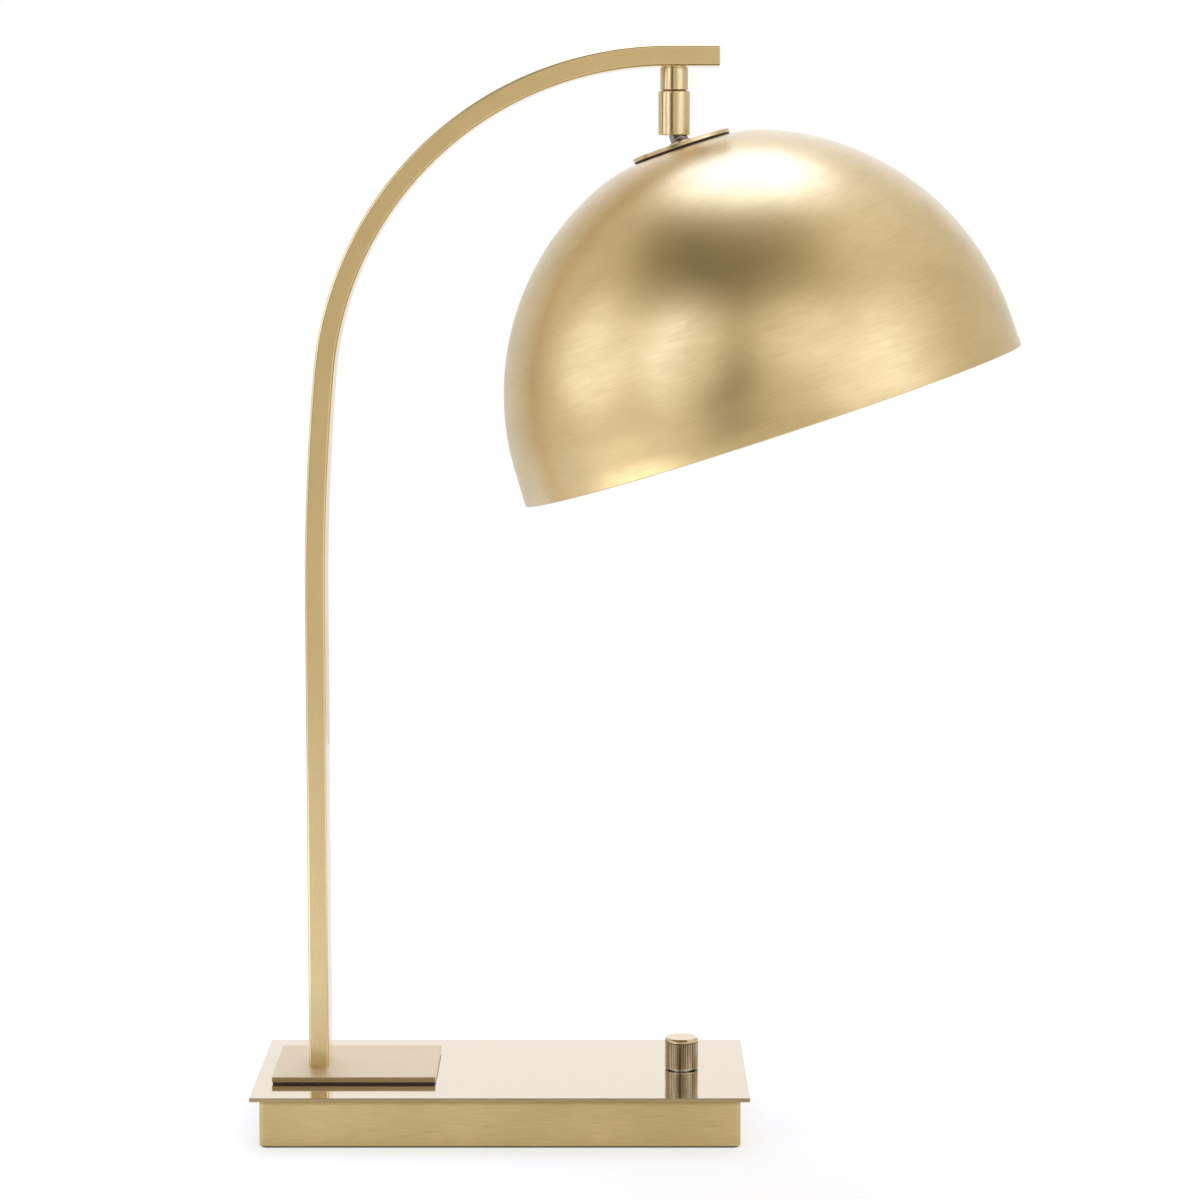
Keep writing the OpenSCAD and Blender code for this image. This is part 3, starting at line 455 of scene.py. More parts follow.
shadeBrass = brassFinish("shadeBrass", {
    "brushed": True, "patchScale": 1, "patchStretch": (0.05, 0.4, 0.4),
    "patchShare": 0.22, "streakShare": 0.6, "light": (0.77, 0.585, 0.28), "dark": (0.50, 0.365, 0.15),
    "roughness": (0.30, 0.42), "bump": 0.1, "lacquerRough": 0.28,
})
boxBrass = brassFinish("boxBrass", {
    "brushed": True, "patchScale": 16, "patchShare": 0.2, "streakShare": 0.8,
    "light": (0.80, 0.61, 0.26), "dark": (0.42, 0.30, 0.10), "roughness": (0.28, 0.42), "bump": 0.3,
    # Painted shade under the top plate's overhang: the box darkens from the first height up to the second
    "corner": (21.4 * mm, 25.2 * mm),
})
plateBrass = brassFinish("plateBrass", {
    "stretch": (60, 1500, 1500), "patchScale": 10, "patchShare": 0.15, "streakShare": 0.5,
    "light": (0.72, 0.58, 0.38), "dark": (0.58, 0.46, 0.28), "roughness": (0.08, 0.16), "bump": 0.04,
    "lacquerRough": 0.05,
})
footBrass = brassFinish("footBrass", {
    "stretch": (60, 1500, 1500), "patchScale": 14, "patchShare": 0.2, "streakShare": 0.5,
    "light": (0.70, 0.56, 0.36), "dark": (0.54, 0.42, 0.25), "roughness": (0.46, 0.58), "bump": 0.12,
    "lacquer": 0.7, "lacquerRough": 0.4,
})
# Painted shade: the plates' upright sides, in a darker copy of their brass
edgeBrass = brassFinish("edgeBrass", {
    "stretch": (60, 60, 2500), "patchScale": 20, "patchShare": 0.2, "streakShare": 0.8,
    "light": (0.54, 0.41, 0.19), "dark": (0.24, 0.175, 0.07), "roughness": (0.26, 0.4), "bump": 0.1,
})
armBrass = brassFinish("armBrass", {
    "brushed": True, "patchScale": 20, "patchShare": 0.25, "streakShare": 0.4,
    "light": (0.80, 0.61, 0.30), "dark": (0.58, 0.43, 0.18), "roughness": (0.24, 0.36), "bump": 0.2,
})
turnedBrass = brassFinish("turnedBrass", {
    "stretch": (700, 700, 700), "patchScale": 60, "patchShare": 0.2, "streakShare": 0.5,
    "light": (0.78, 0.61, 0.33), "dark": (0.50, 0.37, 0.18), "roughness": (0.18, 0.32), "bump": 0.15,
})
agedBrass = brassFinish("agedBrass", {
    "stretch": (800, 800, 300), "patchScale": 90, "patchShare": 0.4, "streakShare": 0.5,
    "light": (0.52, 0.40, 0.22), "dark": (0.24, 0.18, 0.09), "roughness": (0.26, 0.42), "bump": 0.2,
})
knobBrass = brassFinish("knobBrass", {
    "stretch": (500, 500, 60), "patchScale": 70, "patchShare": 0.15, "streakShare": 0.25,
    "light": (0.70, 0.545, 0.30), "dark": (0.055, 0.042, 0.022), "roughness": (0.22, 0.4), "bump": 0.1,
    # The crevice share darkens the flutes towards the near-black dark end: painted shade and grime
    "crevice": 0.8,
})
plainBrass = brassFinish("plainBrass", {
    "stretch": (400, 400, 400), "patchScale": 40, "patchShare": 0.3, "streakShare": 0.5,
    "light": (0.74, 0.56, 0.28), "dark": (0.46, 0.33, 0.15), "roughness": (0.25, 0.4), "bump": 0.2,
})


# What the plain finishes of the other pieces share: a tone with fine mottling
plainLook = {
    "mottleDetail": 5, "mottleRough": 0.6, "spots": (0.3, 0.75), "roughFrom": (0.3, 0.7),
    "depth": 0.02 * mm, "metal": 0,
}


def plainFinish(name, own):
    look = {**plainLook, **own}
    material, tree, shader = newMaterial(name)
    place = stretched(tree, addNode(tree, "TexCoord").outputs["Object"], look["stretch"])
    mottle = noiseOn(tree, place, 1, look["mottleDetail"], look["mottleRough"])
    dressSurface(tree, shader, look, mottle, mottle)
    shader.inputs["Metallic"].default_value = look["metal"]
    return material


zincSteel = plainFinish("zincSteel", {
    "stretch": (500, 500, 500), "light": (0.66, 0.67, 0.68), "dark": (0.42, 0.43, 0.45), "metal": 1,
    "roughness": (0.25, 0.42), "bump": 0.15,
})
capMetal = plainFinish("capMetal", {
    "stretch": (300, 300, 900), "light": (0.80, 0.80, 0.81), "dark": (0.58, 0.58, 0.60), "metal": 1,
    "roughness": (0.22, 0.38), "bump": 0.15,
})
gunMetal = plainFinish("gunMetal", {
    "stretch": (600, 600, 600), "light": (0.42, 0.385, 0.37), "dark": (0.20, 0.18, 0.175), "metal": 1,
    "roughness": (0.10, 0.2), "bump": 0.08,
})
castIron = plainFinish("castIron", {
    "stretch": (350, 350, 350), "light": (0.05, 0.05, 0.05), "dark": (0.02, 0.02, 0.02),
    "roughness": (0.5, 0.7), "bump": 0.6, "depth": 0.1 * mm,
})
blackRubber = plainFinish("blackRubber", {
    "stretch": (700, 700, 700), "light": (0.025, 0.024, 0.023), "dark": (0.010, 0.010, 0.010),
    "roughness": (0.55, 0.75), "bump": 0.3, "depth": 0.04 * mm,
})
blackPlastic = plainFinish("blackPlastic", {
    "stretch": (900, 900, 900), "light": (0.030, 0.030, 0.030), "dark": (0.014, 0.014, 0.014),
    "roughness": (0.35, 0.5), "bump": 0.3, "depth": 0.03 * mm,
})
whitePlastic = plainFinish("whitePlastic", {
    "stretch": (400, 400, 400), "light": (0.80, 0.79, 0.76), "dark": (0.70, 0.68, 0.63),
    "roughness": (0.35, 0.5), "bump": 0.2, "depth": 0.03 * mm,
})
feltWool = plainFinish("feltWool", {
    "stretch": (1400, 1400, 1400), "light": (0.014, 0.013, 0.012), "dark": (0.005, 0.005, 0.005),
    "roughness": (0.85, 1.0), "bump": 0.9, "depth": 0.15 * mm,
})


frostLook = {
    "grain": 300, "detail": 4, "rough": 0.6, "light": (0.95, 0.94, 0.90), "dark": (0.86, 0.85, 0.80),
    "spots": (0, 1), "roughFrom": (0, 1), "roughness": (0.25, 0.45), "clear": 0.35, "bends": 1.45,
}


def frostedFinish(name, look):
    material, tree, shader = newMaterial(name)
    place = addNode(tree, "TexCoord").outputs["Object"]
    frost = noiseOn(tree, place, look["grain"], look["detail"], look["rough"])
    dressSurface(tree, shader, look, frost, None)
    shader.inputs["Transmission Weight"].default_value = look["clear"]
    shader.inputs["IOR"].default_value = look["bends"]
    return material


frostedGlass = frostedFinish("frostedGlass", frostLook)

finishOfSlot = {
    "brushed_brass": boxBrass, "satin_brass_plate": plateBrass, "arm_brass": armBrass,
    "swivel_brass": turnedBrass, "shade_brass": shadeBrass, "aged_brass": agedBrass,
    "plain_brass": plainBrass, "zinc_steel": zincSteel, "bulb_cap_metal": capMetal,
    "gunmetal": gunMetal, "iron": castIron, "black_rubber": blackRubber,
    "black_plastic": blackPlastic, "white_plastic": whitePlastic, "felt": feltWool,
    "bulb_glass": frostedGlass,
}
for row in frame["record"]["subparts"]:
    carried = frame["nodes"][row["node"]]
    carried.data.materials.clear()
    carried.data.materials.append(finishOfSlot[row["material_slot"]])
print("materials made")

# Base: box, top plate, felt
baseSize = {
    "corner": 3 * mm,
    "wall": 1.5 * mm,
    "plateEdge": 0.3 * mm,
    "screwHead": 3.7 * mm,
    "screwHole": 2.3 * mm,
    "flexHole": 2.55 * mm,
    "armScrewOut": 7.5 * mm,
    "neckHole": 4.8 * mm,
    "inletHole": 4.55 * mm,
    "inletCut": 8 * mm,
    "topCut": 16 * mm,
    "cornerSteps": 10,
    "grain": (70, 1700, 6),     # along the brushing, across it, and from one side's pattern to another
}
knobPlace = Vector(jointNamed("knob_turn")["pos_m"])
footLow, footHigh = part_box("foot_plate")
armLow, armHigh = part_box("arm_tube")
armMid = Vector((boxCentre("arm_insert").x, 0, 0))


# Holes through the box's top and the plates: foot and arm screws, the flex and the dimmer's neck
def drillTop(piece, withFoot, withNeck):
    low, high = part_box("foot_screws")
    inset = baseSize["screwHead"]
    spots = [(armMid.x, side * baseSize["armScrewOut"], baseSize["screwHole"]) for side in (-1, 1)]
    spots.append((armMid.x, 0, baseSize["flexHole"]))
    if withFoot:
        spots += [(x, y, baseSize["screwHole"]) for x in (low.x + inset, high.x - inset)
                  for y in (low.y + inset, high.y - inset)]
    if withNeck:
        spots.append((knobPlace.x, 0, baseSize["neckHole"]))
    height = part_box("top_plate")[0].z
    for x, y, radius in spots:
        cutAway(piece, roundCutter((x, y, height), radius, baseSize["topCut"]))


def bevelAll(piece, width, segments=1):
    openPiece(piece)
    pick(piece, "edges", lambda edge, centre: True)
    bpy.ops.mesh.bevel(offset=width, segments=segments, affect="EDGES")
    closePiece()


# The sawn sides of a plate are rougher than its polished face and its bright bevel, and painted darker: painted
# shade
def paintSideShade(piece):
    piece.data.materials.append(edgeBrass)
    for face in piece.data.polygons:
        if abs(face.normal.z) < 1 - nearAxis:
            face.material_index = 1


def buildTopPlate():
    plate = blockOf("topPlate", *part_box("top_plate"))
    bevelAll(plate, baseSize["plateEdge"])
    drillTop(plate, True, True)
    smoothPiece(plate)
    finishPiece(plate, plateBrass, "base", "satin_brass_plate", "top_plate")
    paintSideShade(plate)


def buildBox():
    low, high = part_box("base_box")
    box = blockOf("baseBox", low, high)
    openPiece(box)
    pick(box, "edges", edgeAlong(2))
    bpy.ops.mesh.bevel(offset=baseSize["corner"], segments=baseSize["cornerSteps"], affect="EDGES")
    pick(box, "faces", lambda face, centre: face.normal.z < -nearAxis)
    bpy.ops.mesh.delete(type="ONLY_FACE")
    closePiece()
    applyModifier(box, "SOLIDIFY", thickness=baseSize["wall"], offset=-1, use_even_offset=True)
    inlet = boxCentre("cord_bushing")
    cutAway(box, roundCutter((inlet.x, high.y, inlet.z), baseSize["inletHole"], baseSize["inletCut"],
                             turn=(math.pi / 2, 0, 0)))
    drillTop(box, True, True)
    smoothPiece(box)
    evenNormals(box)
    along, across, apart = baseSize["grain"]

    def brushing(point):
        run = point.x if abs(point.y) / high.y > abs(point.x) / high.x else point.y
        return (run * along, point.z * across, (abs(point.x) + abs(point.y)) * apart)
    addGrain(box, brushing)
    finishPiece(box, boxBrass, "base", "brushed_brass", "base_box")


feltSize = {
    "corner": 3 * mm,
    "cornerSteps": 8,
    "hem": 0.5 * mm,
    "round": 0.25 * mm,
}


def buildFelt():
    low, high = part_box("felt_pad")
    felt = blockOf("feltPad", low, high)
    openPiece(felt)
    pick(felt, "edges", edgeAlong(2))
    bpy.ops.mesh.bevel(offset=feltSize["corner"], segments=feltSize["cornerSteps"], affect="EDGES")
    pick(felt, "faces", lambda face, centre: face.normal.z < -nearAxis)
    bpy.ops.mesh.inset(thickness=feltSize["hem"])

    # A level edge between an upright face and a flat one
    def atRim(edge, centre):
        rise = abs(edge.verts[0].co.z - edge.verts[1].co.z)
        tilts = [abs(face.normal.z) > nearAxis for face in edge.link_faces]
        return rise < weldGap and len(tilts) == 2 and tilts[0] != tilts[1]
    pick(felt, "edges", atRim)
    bpy.ops.mesh.bevel(offset=feltSize["round"], segments=3, affect="EDGES")
    closePiece()
    smoothPiece(felt)
    evenNormals(felt)
    finishPiece(felt, feltWool, "base", "felt", "felt_pad")


def buildFootPlate():
    foot = blockOf("footPlate", footLow, footHigh)
    bevelAll(foot, baseSize["plateEdge"])
    drillTop(foot, False, False)
    smoothPiece(foot)
    finishPiece(foot, footBrass, "base", "satin_brass_plate", "foot_plate")
    paintSideShade(foot)


inletSize = {
    "bore": 3.2 * mm,
    "sleeve": 4.5 * mm,
    "flange": 6.5 * mm,
    "flangeThick": 1.5 * mm,
    "round": 0.5 * mm,
}


# Bushing where the cord enters, turned upright and laid over so that its flange faces the back
def buildInlet():
    low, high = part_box("cord_bushing")
    length, bore, flange = high.y - low.y, inletSize["bore"], inletSize["flange"]
    soft, under = inletSize["round"], -inletSize["flangeThick"]
    bushing = turnedPiece("cordInlet", (bore, -length), [
        ("to", inletSize["sleeve"], -length), ("to", inletSize["sleeve"], under), ("to", flange, under),
        ("to", flange, -soft), ("round", (flange - soft, -soft), 90, 5), ("to", bore + soft, 0),
        ("round", (bore + soft, -soft), 90, 5), ("to", bore, -length),
    ], around=72)
    place = Vector((boxCentre("cord_bushing").x, high.y, boxCentre("cord_bushing").z))
    setInPlace(bushing, Matrix.Translation(place) @ Matrix.Rotation(-math.pi / 2, 4, "X"))
    smoothPiece(bushing)
    evenNormals(bushing)
    finishPiece(bushing, blackPlastic, "base", "black_plastic", "cord_bushing")


buildBox()
buildTopPlate()
buildFelt()
buildFootPlate()
buildInlet()
print("base built")

# Arm: a flat tube swept up the post, round the slow curve and the large bend, and out to its end
armSize = {
    "thickness": 10.3 * mm,
    "depth": 26 * mm,
    "wall": 1.2 * mm,
    "edge": 1.3 * mm,
    "bend": 181.6 * mm,
    "ease": 1300 * mm,
    "easeAngle": math.radians(5.2),
    "nippleHole": 4.05 * mm,
    "nippleCut": 3.12 * mm,
    "endLip": 4 * mm,
    "endGap": 0.1 * mm,
    "endEdge": 0.35 * mm,
    "edgeSteps": 7,
    "easeSteps": 10,
    "bendSteps": 96,
    "grain": (50, 1500, 1500),      # along the arm, across it and out from its outer face
}
swivelX = jointNamed("swivel_turn")["pos_m"][0]


def armCurves():
    turn = armSize["easeAngle"]
    easeStart = armHigh.z - armSize["bend"] * (1 - math.sin(turn)) - armSize["ease"] * math.sin(turn)
    easeMiddle = Vector((armLow.x + armSize["ease"], 0, easeStart))
    bendX = armLow.x + armSize["ease"] - (armSize["ease"] - armSize["bend"]) * math.cos(turn)
    return easeMiddle, Vector((bendX, 0, armHigh.z - armSize["bend"]))


def buildArm():
    easeMiddle, bendMiddle = armCurves()
    turn = armSize["easeAngle"]
    deselectAll()
    foot = (armLow.x + armSize["thickness"] / 2, 0, armLow.z)
    bpy.ops.mesh.primitive_plane_add(size=1, location=foot)
    arm = nameNewest("lampArm")
    arm.scale = (armSize["thickness"], armSize["depth"], 1)
    applyPlace()
    openPiece(arm)
    bpy.ops.mesh.select_mode(type="VERT")
    bpy.ops.mesh.select_all(action="SELECT")
    bpy.ops.mesh.bevel(offset=armSize["edge"], segments=armSize["edgeSteps"], affect="VERTICES")
    bpy.ops.mesh.select_all(action="SELECT")
    bpy.ops.mesh.delete(type="ONLY_FACE")
    bpy.ops.mesh.select_all(action="SELECT")
    bpy.ops.mesh.extrude_region_move(TRANSFORM_OT_translate={"value": (0, 0, easeMiddle.z - armLow.z)})
    bpy.ops.mesh.spin(steps=armSize["easeSteps"], angle=-turn, center=easeMiddle, axis=(0, 1, 0))
    bpy.ops.mesh.spin(steps=armSize["bendSteps"], angle=turn - math.pi / 2, center=bendMiddle,
                      axis=(0, 1, 0))
    bpy.ops.mesh.extrude_region_move(TRANSFORM_OT_translate={"value": (armHigh.x - bendMiddle.x, 0, 0)})
    bpy.ops.mesh.select_all(action="SELECT")
    bpy.ops.mesh.remove_doubles(threshold=weldGap)
    bpy.ops.mesh.normals_make_consistent(inside=False)
    closePiece()
    applyModifier(arm, "SOLIDIFY", thickness=armSize["wall"], offset=-1, use_even_offset=True)
    under = armHigh.z - armSize["thickness"]
    cutAway(arm, roundCutter((swivelX, 0, under), armSize["nippleHole"], armSize["nippleCut"]))
    smoothPiece(arm)
    evenNormals(arm)
    grain = armSize["grain"]

    # How far a point lies along the arm and out from its outer face
    def brushing(point):
        if point.z < easeMiddle.z:
            along, out = point.z, point.x - armLow.x
        elif point.x > bendMiddle.x and point.z > bendMiddle.z:
            along = bendMiddle.z + armSize["bend"] * math.pi / 2 + point.x - bendMiddle.x
            out = armHigh.z - point.z
        else:
            reach = point - bendMiddle
            angle = math.atan2(reach.z, -reach.x)
            along = bendMiddle.z + armSize["bend"] * angle
            out = armSize["bend"] - math.hypot(reach.x, reach.z)
        return (along * grain[0], point.y * grain[1], out * grain[2])
    addGrain(arm, brushing)
    finishPiece(arm, armBrass, "base", "arm_brass", "arm_tube")


def buildArmEnd():
    low = Vector((armHigh.x, -armSize["depth"] / 2, armHigh.z - armSize["thickness"]))
    high = Vector((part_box("arm_end_cap")[1].x, armSize["depth"] / 2, armHigh.z))
    end = blockOf("armEnd", low, high)
    openPiece(end)
    pick(end, "edges", edgeAlong(0))
    bpy.ops.mesh.bevel(offset=armSize["edge"], segments=armSize["edgeSteps"], affect="EDGES")
    outermost = high.x - weldGap
    pick(end, "edges", lambda edge, centre: all(vert.co.x > outermost for vert in edge.verts))
    bpy.ops.mesh.bevel(offset=armSize["endEdge"], segments=3, affect="EDGES")
    pick(end, "faces", lambda face, centre: face.normal.x < -nearAxis)
    bpy.ops.mesh.inset(thickness=armSize["wall"] + armSize["endGap"])
    bpy.ops.mesh.extrude_region_move(TRANSFORM_OT_translate={"value": (-armSize["endLip"], 0, 0)})
    closePiece()
    smoothPiece(end)
    evenNormals(end)
    grain = armSize["grain"]
    addGrain(end, lambda point: (point.x * grain[0], point.y * grain[1], point.z * grain[2]))
    finishPiece(end, armBrass, "base", "arm_brass", "arm_end_cap")


buildArm()
buildArmEnd()
print("arm built")

# Swivel: the fixed collar and the housing that turns under it
swivelSize = {
    "bore": 4.05 * mm,
    "edge": 0.25 * mm,
    "reliefWidth": 0.7 * mm,
    "reliefHeight": 0.6 * mm,
    "shoulder": 1.2 * mm,
    "chamber": 6.675 * mm,
    "lip": 6.16 * mm,
    "lipHeight": 3.8 * mm,
    "lipSlope": 1 * mm,
    "mouth": 7.25 * mm,
}


def buildCollar():
    low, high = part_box("swivel_collar")
    radius, edge, bore = (high.y - low.y) / 2, swivelSize["edge"], swivelSize["bore"]
    neck, neckZ = radius - swivelSize["reliefWidth"], high.z - swivelSize["reliefHeight"]
    collar = turnedPiece("swivelCollar", (bore, low.z), [
        ("to", radius - edge, low.z), ("round", (radius - edge, low.z + edge), 90, 3),
        ("to", radius, neckZ - edge), ("round", (radius - edge, neckZ - edge), 90, 3),
        ("to", neck, neckZ), ("to", neck, high.z), ("to", bore, high.z), ("to", bore, low.z),
    ])
    setInPlace(collar, Matrix.Translation((swivelX, 0, 0)))
    smoothPiece(collar)
    evenNormals(collar)
    finishPiece(collar, turnedBrass, "base", "swivel_brass", "swivel_collar")


def buildHousing():
    low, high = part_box("swivel_housing")
    radius, edge, soft = (high.y - low.y) / 2, swivelSize["edge"], swivelSize["shoulder"]
    chamber, lipZ = swivelSize["chamber"], low.z + swivelSize["lipHeight"]
    housing = turnedPiece("swivelHousing", (swivelSize["mouth"], low.z), [
        ("to", radius - edge, low.z), ("round", (radius - edge, low.z + edge), 90, 4),
        ("to", radius, high.z - soft), ("round", (radius - soft, high.z - soft), 90, 8),
        ("to", chamber, high.z), ("to", chamber, lipZ + swivelSize["lipSlope"]),
        ("to", swivelSize["lip"], lipZ), ("to", swivelSize["mouth"], low.z),
    ])
    setInPlace(housing, Matrix.Translation((swivelX, 0, 0)))
    smoothPiece(housing)
    evenNormals(housing)
    finishPiece(housing, turnedBrass, "swivel", "swivel_brass", "swivel_housing")


buildCollar()
buildHousing()

# Shade and what hangs on the ball: built upright with z = 0 at the ball's centre, then leaned over
ballCentre = Vector(jointNamed("shade_tilt")["pos_m"])
hangAxis = (boxCentre("holder_shell") - ballCentre).normalized()
shadePlace = (
    Matrix.Translation(ballCentre)
    @ Matrix.Rotation(math.atan2(hangAxis.y, hangAxis.x), 4, "Z")
    @ Matrix.Rotation(-math.acos(-hangAxis.z), 4, "Y")
)
shadeSize = {
    "rim": 133 * mm,
    "wall": 1 * mm,
    "taper": math.radians(1.65),
    "skirt": 18.5 * mm,
    "dome": 137.7 * mm,
    "flat": 22.4 * mm,
    "ease": 60 * mm,
    "top": -13.9 * mm,
    "hole": 4.05 * mm,
    "around": 288,
    "domeSteps": 72,
    "easeSteps": 12,
    "rimSteps": 8,
    "grain": (1400, 9),     # from the crown to the rim, and round the dome
}


def buildShade():
    rim, wall, taper, skirt = (shadeSize[k] for k in ("rim", "wall", "taper", "skirt"))
    dome, flat, ease, hole = (shadeSize[k] for k in ("dome", "flat", "ease", "hole"))
    edge = Vector((rim - skirt * math.tan(taper), skirt))
    middle = edge - dome * Vector((math.cos(taper), math.sin(taper)))
    end = math.acos((flat - middle.x) / (dome - ease))
    easeMiddle = Vector((flat, middle.y + (dome - ease) * math.sin(end)))
    height = easeMiddle.y + ease
    down = Vector((0, shadeSize["top"] - height))
    inner = edge - wall * Vector((math.cos(taper), math.sin(taper))) + down
    easeTurn, domeTurn = 90 - math.degrees(end), math.degrees(end - taper)
    easeSteps, domeSteps = shadeSize["easeSteps"], shadeSize["domeSteps"]
    shade = turnedPiece("shadeShell", Vector((hole, height)) + down, [
        ("to", flat, height + down.y),
        ("round", easeMiddle + down, -easeTurn, easeSteps),
        ("round", middle + down, -domeTurn, domeSteps),
        ("to", (edge.x + rim) / 2, skirt / 2 + down.y), ("to", rim, down.y),
        ("round", (rim - wall / 2, down.y), -180, shadeSize["rimSteps"]),
        ("to", inner.x, inner.y), ("round", middle + down, domeTurn, domeSteps),
        ("round", easeMiddle + down, easeTurn, easeSteps),
        ("to", hole, height - wall + down.y), ("to", hole, height + down.y),
    ], around=shadeSize["around"])
    smoothPiece(shade)

    # Fine brushing runs round the dome: fast from the crown to the rim, slow round it
    def brushing(point):
        out, angle = math.hypot(point.x, point.y), math.atan2(point.y, point.x)
        fall = math.hypot(out, point.z - shadeSize["top"]) * shadeSize["grain"][0]
        return (fall, math.cos(angle) * shadeSize["grain"][1], math.sin(angle) * shadeSize["grain"][1])
    addGrain(shade, brushing)
    setInPlace(shade, shadePlace)
    finishPiece(shade, shadeBrass, "shade_body", "shade_brass", "shade")


crownSize = {
    "discRadius": 25.85 * mm,
    "discTop": -10.9 * mm,
    "discThick": 2 * mm,
    "discEdge": 0.35 * mm,
    "discAround": 160,
    "ringRadius": 5.8 * mm,
    "ringHigh": 1.5 * mm,
    "ringEdge": 0.4 * mm,
    "hole": 4.05 * mm,
}


def discOutline(radius, hole, low, high, edge):
    return (hole, low), [
        ("to", radius - edge, low), ("round", (radius - edge, low + edge), 90, 4),
        ("to", radius, high - edge), ("round", (radius - edge, high - edge), 90, 4),
        ("to", hole, high), ("to", hole, low),
    ]


def buildCrown():
    top, hole = crownSize["discTop"], crownSize["hole"]
    under, over = top - crownSize["discThick"], top + crownSize["ringHigh"]
    disc = turnedPiece("crownDisc", *discOutline(crownSize["discRadius"], hole, under, top,
                                                 crownSize["discEdge"]), around=crownSize["discAround"])
    ring = turnedPiece("crownRing", *discOutline(crownSize["ringRadius"], hole, top, over,
                                                 crownSize["ringEdge"]))
    for piece, node in ((disc, "crown_plate"), (ring, "stem_ring")):
        smoothPiece(piece)
        evenNormals(piece)
        setInPlace(piece, shadePlace)
        finishPiece(piece, turnedBrass, "shade_body", "swivel_brass", node)


# Ball with its hex neck and the stem through the crown
neckSize = {
    "ball": 6.4 * mm,
    "ballCut": 4.6 * mm,
    "bore": 1.7 * mm,
    "funnel": 3.7 * mm,
    "waist": 3.4 * mm,
    "hexTop": -5.2 * mm,
    "hexFoot": -9.4 * mm,
    "flats": 8 * mm,
    "hexEdge": 0.2 * mm,
    "stem": 4 * mm,
    "stemEnd": -26.1 * mm,
}


def buildNeck():
    ball, cut = neckSize["ball"], neckSize["ballCut"]
    waist, bore = neckSize["waist"], neckSize["bore"]
    high = math.degrees(math.asin(cut / ball))
    low = -math.degrees(math.acos(waist / ball))
    start = Vector((ball * math.cos(math.radians(high)), cut))
    neck = turnedPiece("ballNeck", start, [
        ("round", (0, 0), low - high, 32), ("to", waist, neckSize["hexFoot"]),
        ("to", neckSize["stem"], neckSize["hexFoot"]), ("to", neckSize["stem"], neckSize["stemEnd"]),
        ("to", bore, neckSize["stemEnd"]), ("to", bore, 0), ("to", neckSize["funnel"], cut),
        ("to", start.x, cut),
    ], around=64)
    deselectAll()
    height = neckSize["hexTop"] - neckSize["hexFoot"]
    bpy.ops.mesh.primitive_cylinder_add(
        vertices=6, radius=neckSize["flats"] / math.sqrt(3), depth=height,
        location=(0, 0, neckSize["hexFoot"] + height / 2), rotation=(0, 0, math.radians(30)))
    hexNeck = bpy.context.object
    bevelAll(hexNeck, neckSize["hexEdge"], 2)
    cutAway(hexNeck, roundCutter((0, 0, neckSize["hexFoot"]), bore, 4 * height))  # right through
    joinSolids(neck, hexNeck)
    smoothPiece(neck)
    setInPlace(neck, shadePlace)
    finishPiece(neck, gunMetal, "shade_body", "gunmetal", "swivel_ball")


# Lamp holder and bulb, which show from under the shade; heights are up the shade's axis from the ball
holderSize = {
    "radius": 19 * mm,
    "wall": 1 * mm,
    "capTop": -20.1 * mm,
    "capFoot": -37.1 * mm,
    "capOutside": ((7, 0), (7, -3), (15.2, -6.8)),      # mm from the axis and from the cap's top
    "capInside": ((14.4, -7.8), (6, -4), (6, -6)),
    "capSides": (4.25 * mm, 3.9 * mm),      # the cylinder's height, outside and inside
    "stemHole": 4.05 * mm,
    "shellFoot": -71.1 * mm,
    "beads": (-44 * mm, -64 * mm),
    "beadDepth": 0.45 * mm,
    "capRound": 0.5 * mm,
    "shellRound": 0.2 * mm,
    "roundFrom": math.radians(18),
}


def roundCorners(piece, width):
    applyModifier(piece, "BEVEL", width=width, segments=3, limit_method="ANGLE",
                  angle_limit=holderSize["roundFrom"])


def buildHolder():
    radius, wall, top, foot = (holderSize[k] for k in ("radius", "wall", "capTop", "capFoot"))
    inside = radius - wall
    hole, (outer, inner) = holderSize["stemHole"], holderSize["capSides"]
    over = [("to", x * mm, top + z * mm) for x, z in holderSize["capOutside"]]
    under = [("to", x * mm, top + z * mm) for x, z in holderSize["capInside"]]
    cap = turnedPiece("holderCap", (hole, top), over + [
        ("to", radius, foot + outer), ("to", radius, foot), ("to", inside, foot),
        ("to", inside, foot + inner),
    ] + under + [("to", hole, under[-1][2]), ("to", hole, top)])
    outline = [("to", radius, holderSize["shellFoot"])]
    dip = holderSize["beadDepth"]
    for bead in reversed(holderSize["beads"]):
        outline += [("to", radius, bead - 2 * dip), ("to", radius - dip, bead - dip),
                    ("to", radius - dip, bead + dip), ("to", radius, bead + 2 * dip)]
    outline += [("to", radius, foot), ("to", inside, foot), ("to", inside, holderSize["shellFoot"])]
    shell = turnedPiece("holderShell", (inside, holderSize["shellFoot"]), outline)
    for piece, node, soft in ((cap, "holder_cap", "capRound"), (shell, "holder_shell", "shellRound")):
        roundCorners(piece, holderSize[soft])
        smoothPiece(piece)
        evenNormals(piece)
        setInPlace(piece, shadePlace)
        finishPiece(piece, plainBrass, "shade_body", "plain_brass", node)


bulbSize = {
    "centre": -119.3 * mm,
    "ball": 30 * mm,
    "shoulder": 35,     # degrees that the ball goes on past its widest, and the neck's hollow back
    "neck": 12.55 * mm,
    "neckTop": 57.3 * mm,
    "wall": 1 * mm,
}


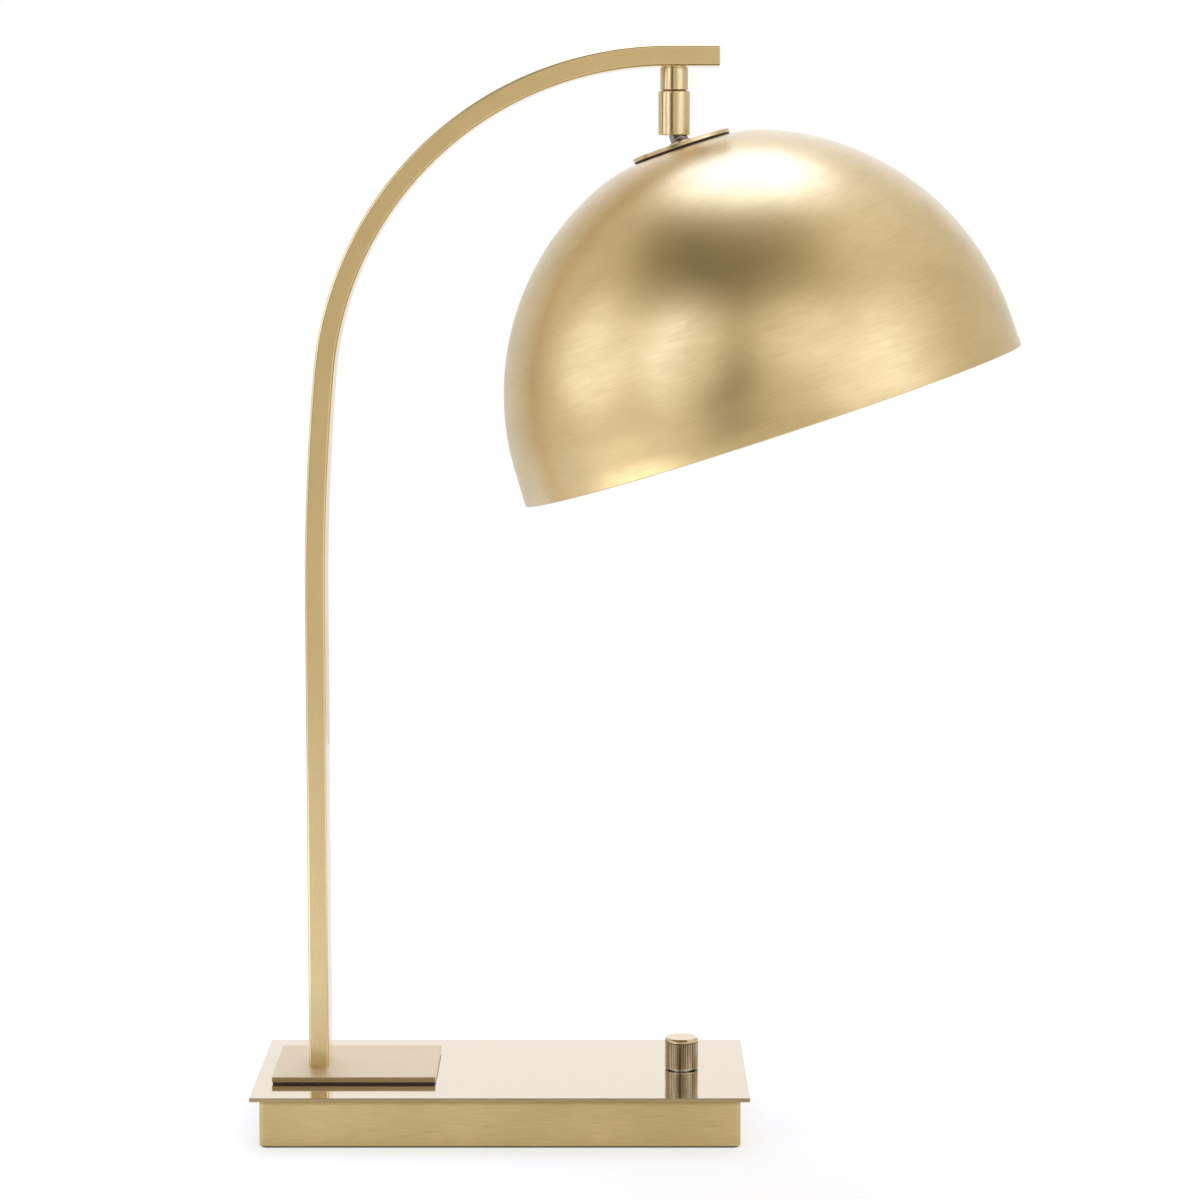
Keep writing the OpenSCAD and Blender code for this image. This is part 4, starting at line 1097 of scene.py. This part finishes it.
def buildBulb():
    ball, wall, turn = bulbSize["ball"], bulbSize["wall"], math.radians(bulbSize["shoulder"])
    sweep = (ball * math.cos(turn) - bulbSize["neck"]) / (1 - math.cos(turn))
    middle = (ball + sweep) * Vector((math.cos(turn), math.sin(turn)))
    neck, neckTop = bulbSize["neck"], bulbSize["neckTop"]
    bulb = turnedPiece("bulbGlass", (0, -ball), [
        ("round", (0, 0), 90 + bulbSize["shoulder"], 40), ("round", middle, -bulbSize["shoulder"], 14),
        ("to", neck, neckTop), ("to", neck - wall, neckTop), ("to", neck - wall, middle.y),
        ("round", middle, bulbSize["shoulder"], 14), ("round", (0, 0), -90 - bulbSize["shoulder"], 40),
    ])
    smoothPiece(bulb)
    setInPlace(bulb, shadePlace @ Matrix.Translation((0, 0, bulbSize["centre"])))
    finishPiece(bulb, frostedGlass, "shade_body", "bulb_glass", "bulb_glass")


buildShade()
buildCrown()
buildNeck()
buildHolder()
buildBulb()
print("shade, swivel and bulb built")

# Dimmer knob: fluted sleeve on a turned core with a grooved and chamfered head
knobSize = {
    "radius": 8.75 * mm,
    "height": 16.2 * mm,
    "around": 120,
    "flutes": 50,
    "fluteDepth": 0.35 * mm,
    "sleeveInset": 0.02 * mm,
    "sleeveOverlap": 0.2 * mm,
    "foot": 0.8 * mm,
    "head": 1.9 * mm,
    "groove": 0.5 * mm,
    "grooveDepth": 0.7 * mm,
    "chamfer": 0.9 * mm,
    "recess": 7.2 * mm,
    "recessDepth": 4 * mm,
    "cleanTop": 0.1 * mm,
    "smooth": math.radians(20),
}


def buildSleeve(radius, inner, low, high):
    depth, flutes = knobSize["fluteDepth"], knobSize["flutes"]
    deselectAll()
    bpy.ops.mesh.primitive_circle_add(vertices=4 * flutes, radius=radius - knobSize["sleeveInset"],
                                      fill_type="NGON", location=(0, 0, low))
    sleeve = bpy.context.object
    applyPlace()
    openPiece(sleeve)
    pick(sleeve, "verts", lambda vert, centre: vert.index % 4 in (2, 3))
    share = (radius - depth) / radius
    bpy.ops.transform.resize(value=(share, share, 1), center_override=(0, 0, 0))
    bpy.ops.mesh.select_all(action="SELECT")
    bpy.ops.mesh.extrude_region_move(TRANSFORM_OT_translate={"value": (0, 0, high - low)})
    bpy.ops.mesh.select_all(action="SELECT")
    bpy.ops.mesh.normals_make_consistent(inside=False)
    closePiece()
    bore = inner - knobSize["sleeveOverlap"]
    cutAway(sleeve, roundCutter((0, 0, 0), bore, 4 * knobSize["height"]))  # right through
    return sleeve


def buildKnob():
    radius, height, depth = knobSize["radius"], knobSize["height"], knobSize["fluteDepth"]
    foot, recess, chamfer = knobSize["foot"], knobSize["recess"], knobSize["chamfer"]
    headZ = height - knobSize["head"]
    inner = radius - knobSize["grooveDepth"]
    knob = turnedPiece("dimmerKnob", (0, height), [
        ("to", radius - chamfer, height), ("to", radius, height - chamfer), ("to", radius, headZ),
        ("to", inner, headZ), ("to", inner, foot),
        ("to", radius - depth / 2, foot), ("to", radius - depth / 2, 0),
        ("to", recess, 0), ("to", recess, knobSize["recessDepth"]), ("to", 0, knobSize["recessDepth"]),
    ], around=knobSize["around"])
    joinSolids(knob, buildSleeve(radius, inner, foot / 2, headZ - knobSize["groove"]))
    setInPlace(knob, Matrix.Translation(knobPlace))
    smoothPiece(knob, knobSize["smooth"])
    topZ = knobPlace.z + height
    # Painted shade and grime: 1 at the bottoms of the flutes and deeper in, 0 on the knob's outside and top
    crevice = knob.data.attributes.new("crevice", "FLOAT", "POINT")
    for shadeAndDirt, vert in zip(crevice.data, knob.data.vertices):
        if vert.co.z < topZ - knobSize["cleanTop"]:
            out = math.hypot(vert.co.x - knobPlace.x, vert.co.y - knobPlace.y)
            shadeAndDirt.value = min(1, max(0, (radius - out) / depth))
    finishPiece(knob, knobBrass, "knob", "aged_brass", "dimmer_knob")

    # The head's top and chamfer are polished
    knob.data.materials.append(turnedBrass)
    for face in knob.data.polygons:
        if face.center.z > topZ - chamfer - weldGap and face.normal.z > 1 - nearAxis:
            face.material_index = 1


buildKnob()
print("knob built")
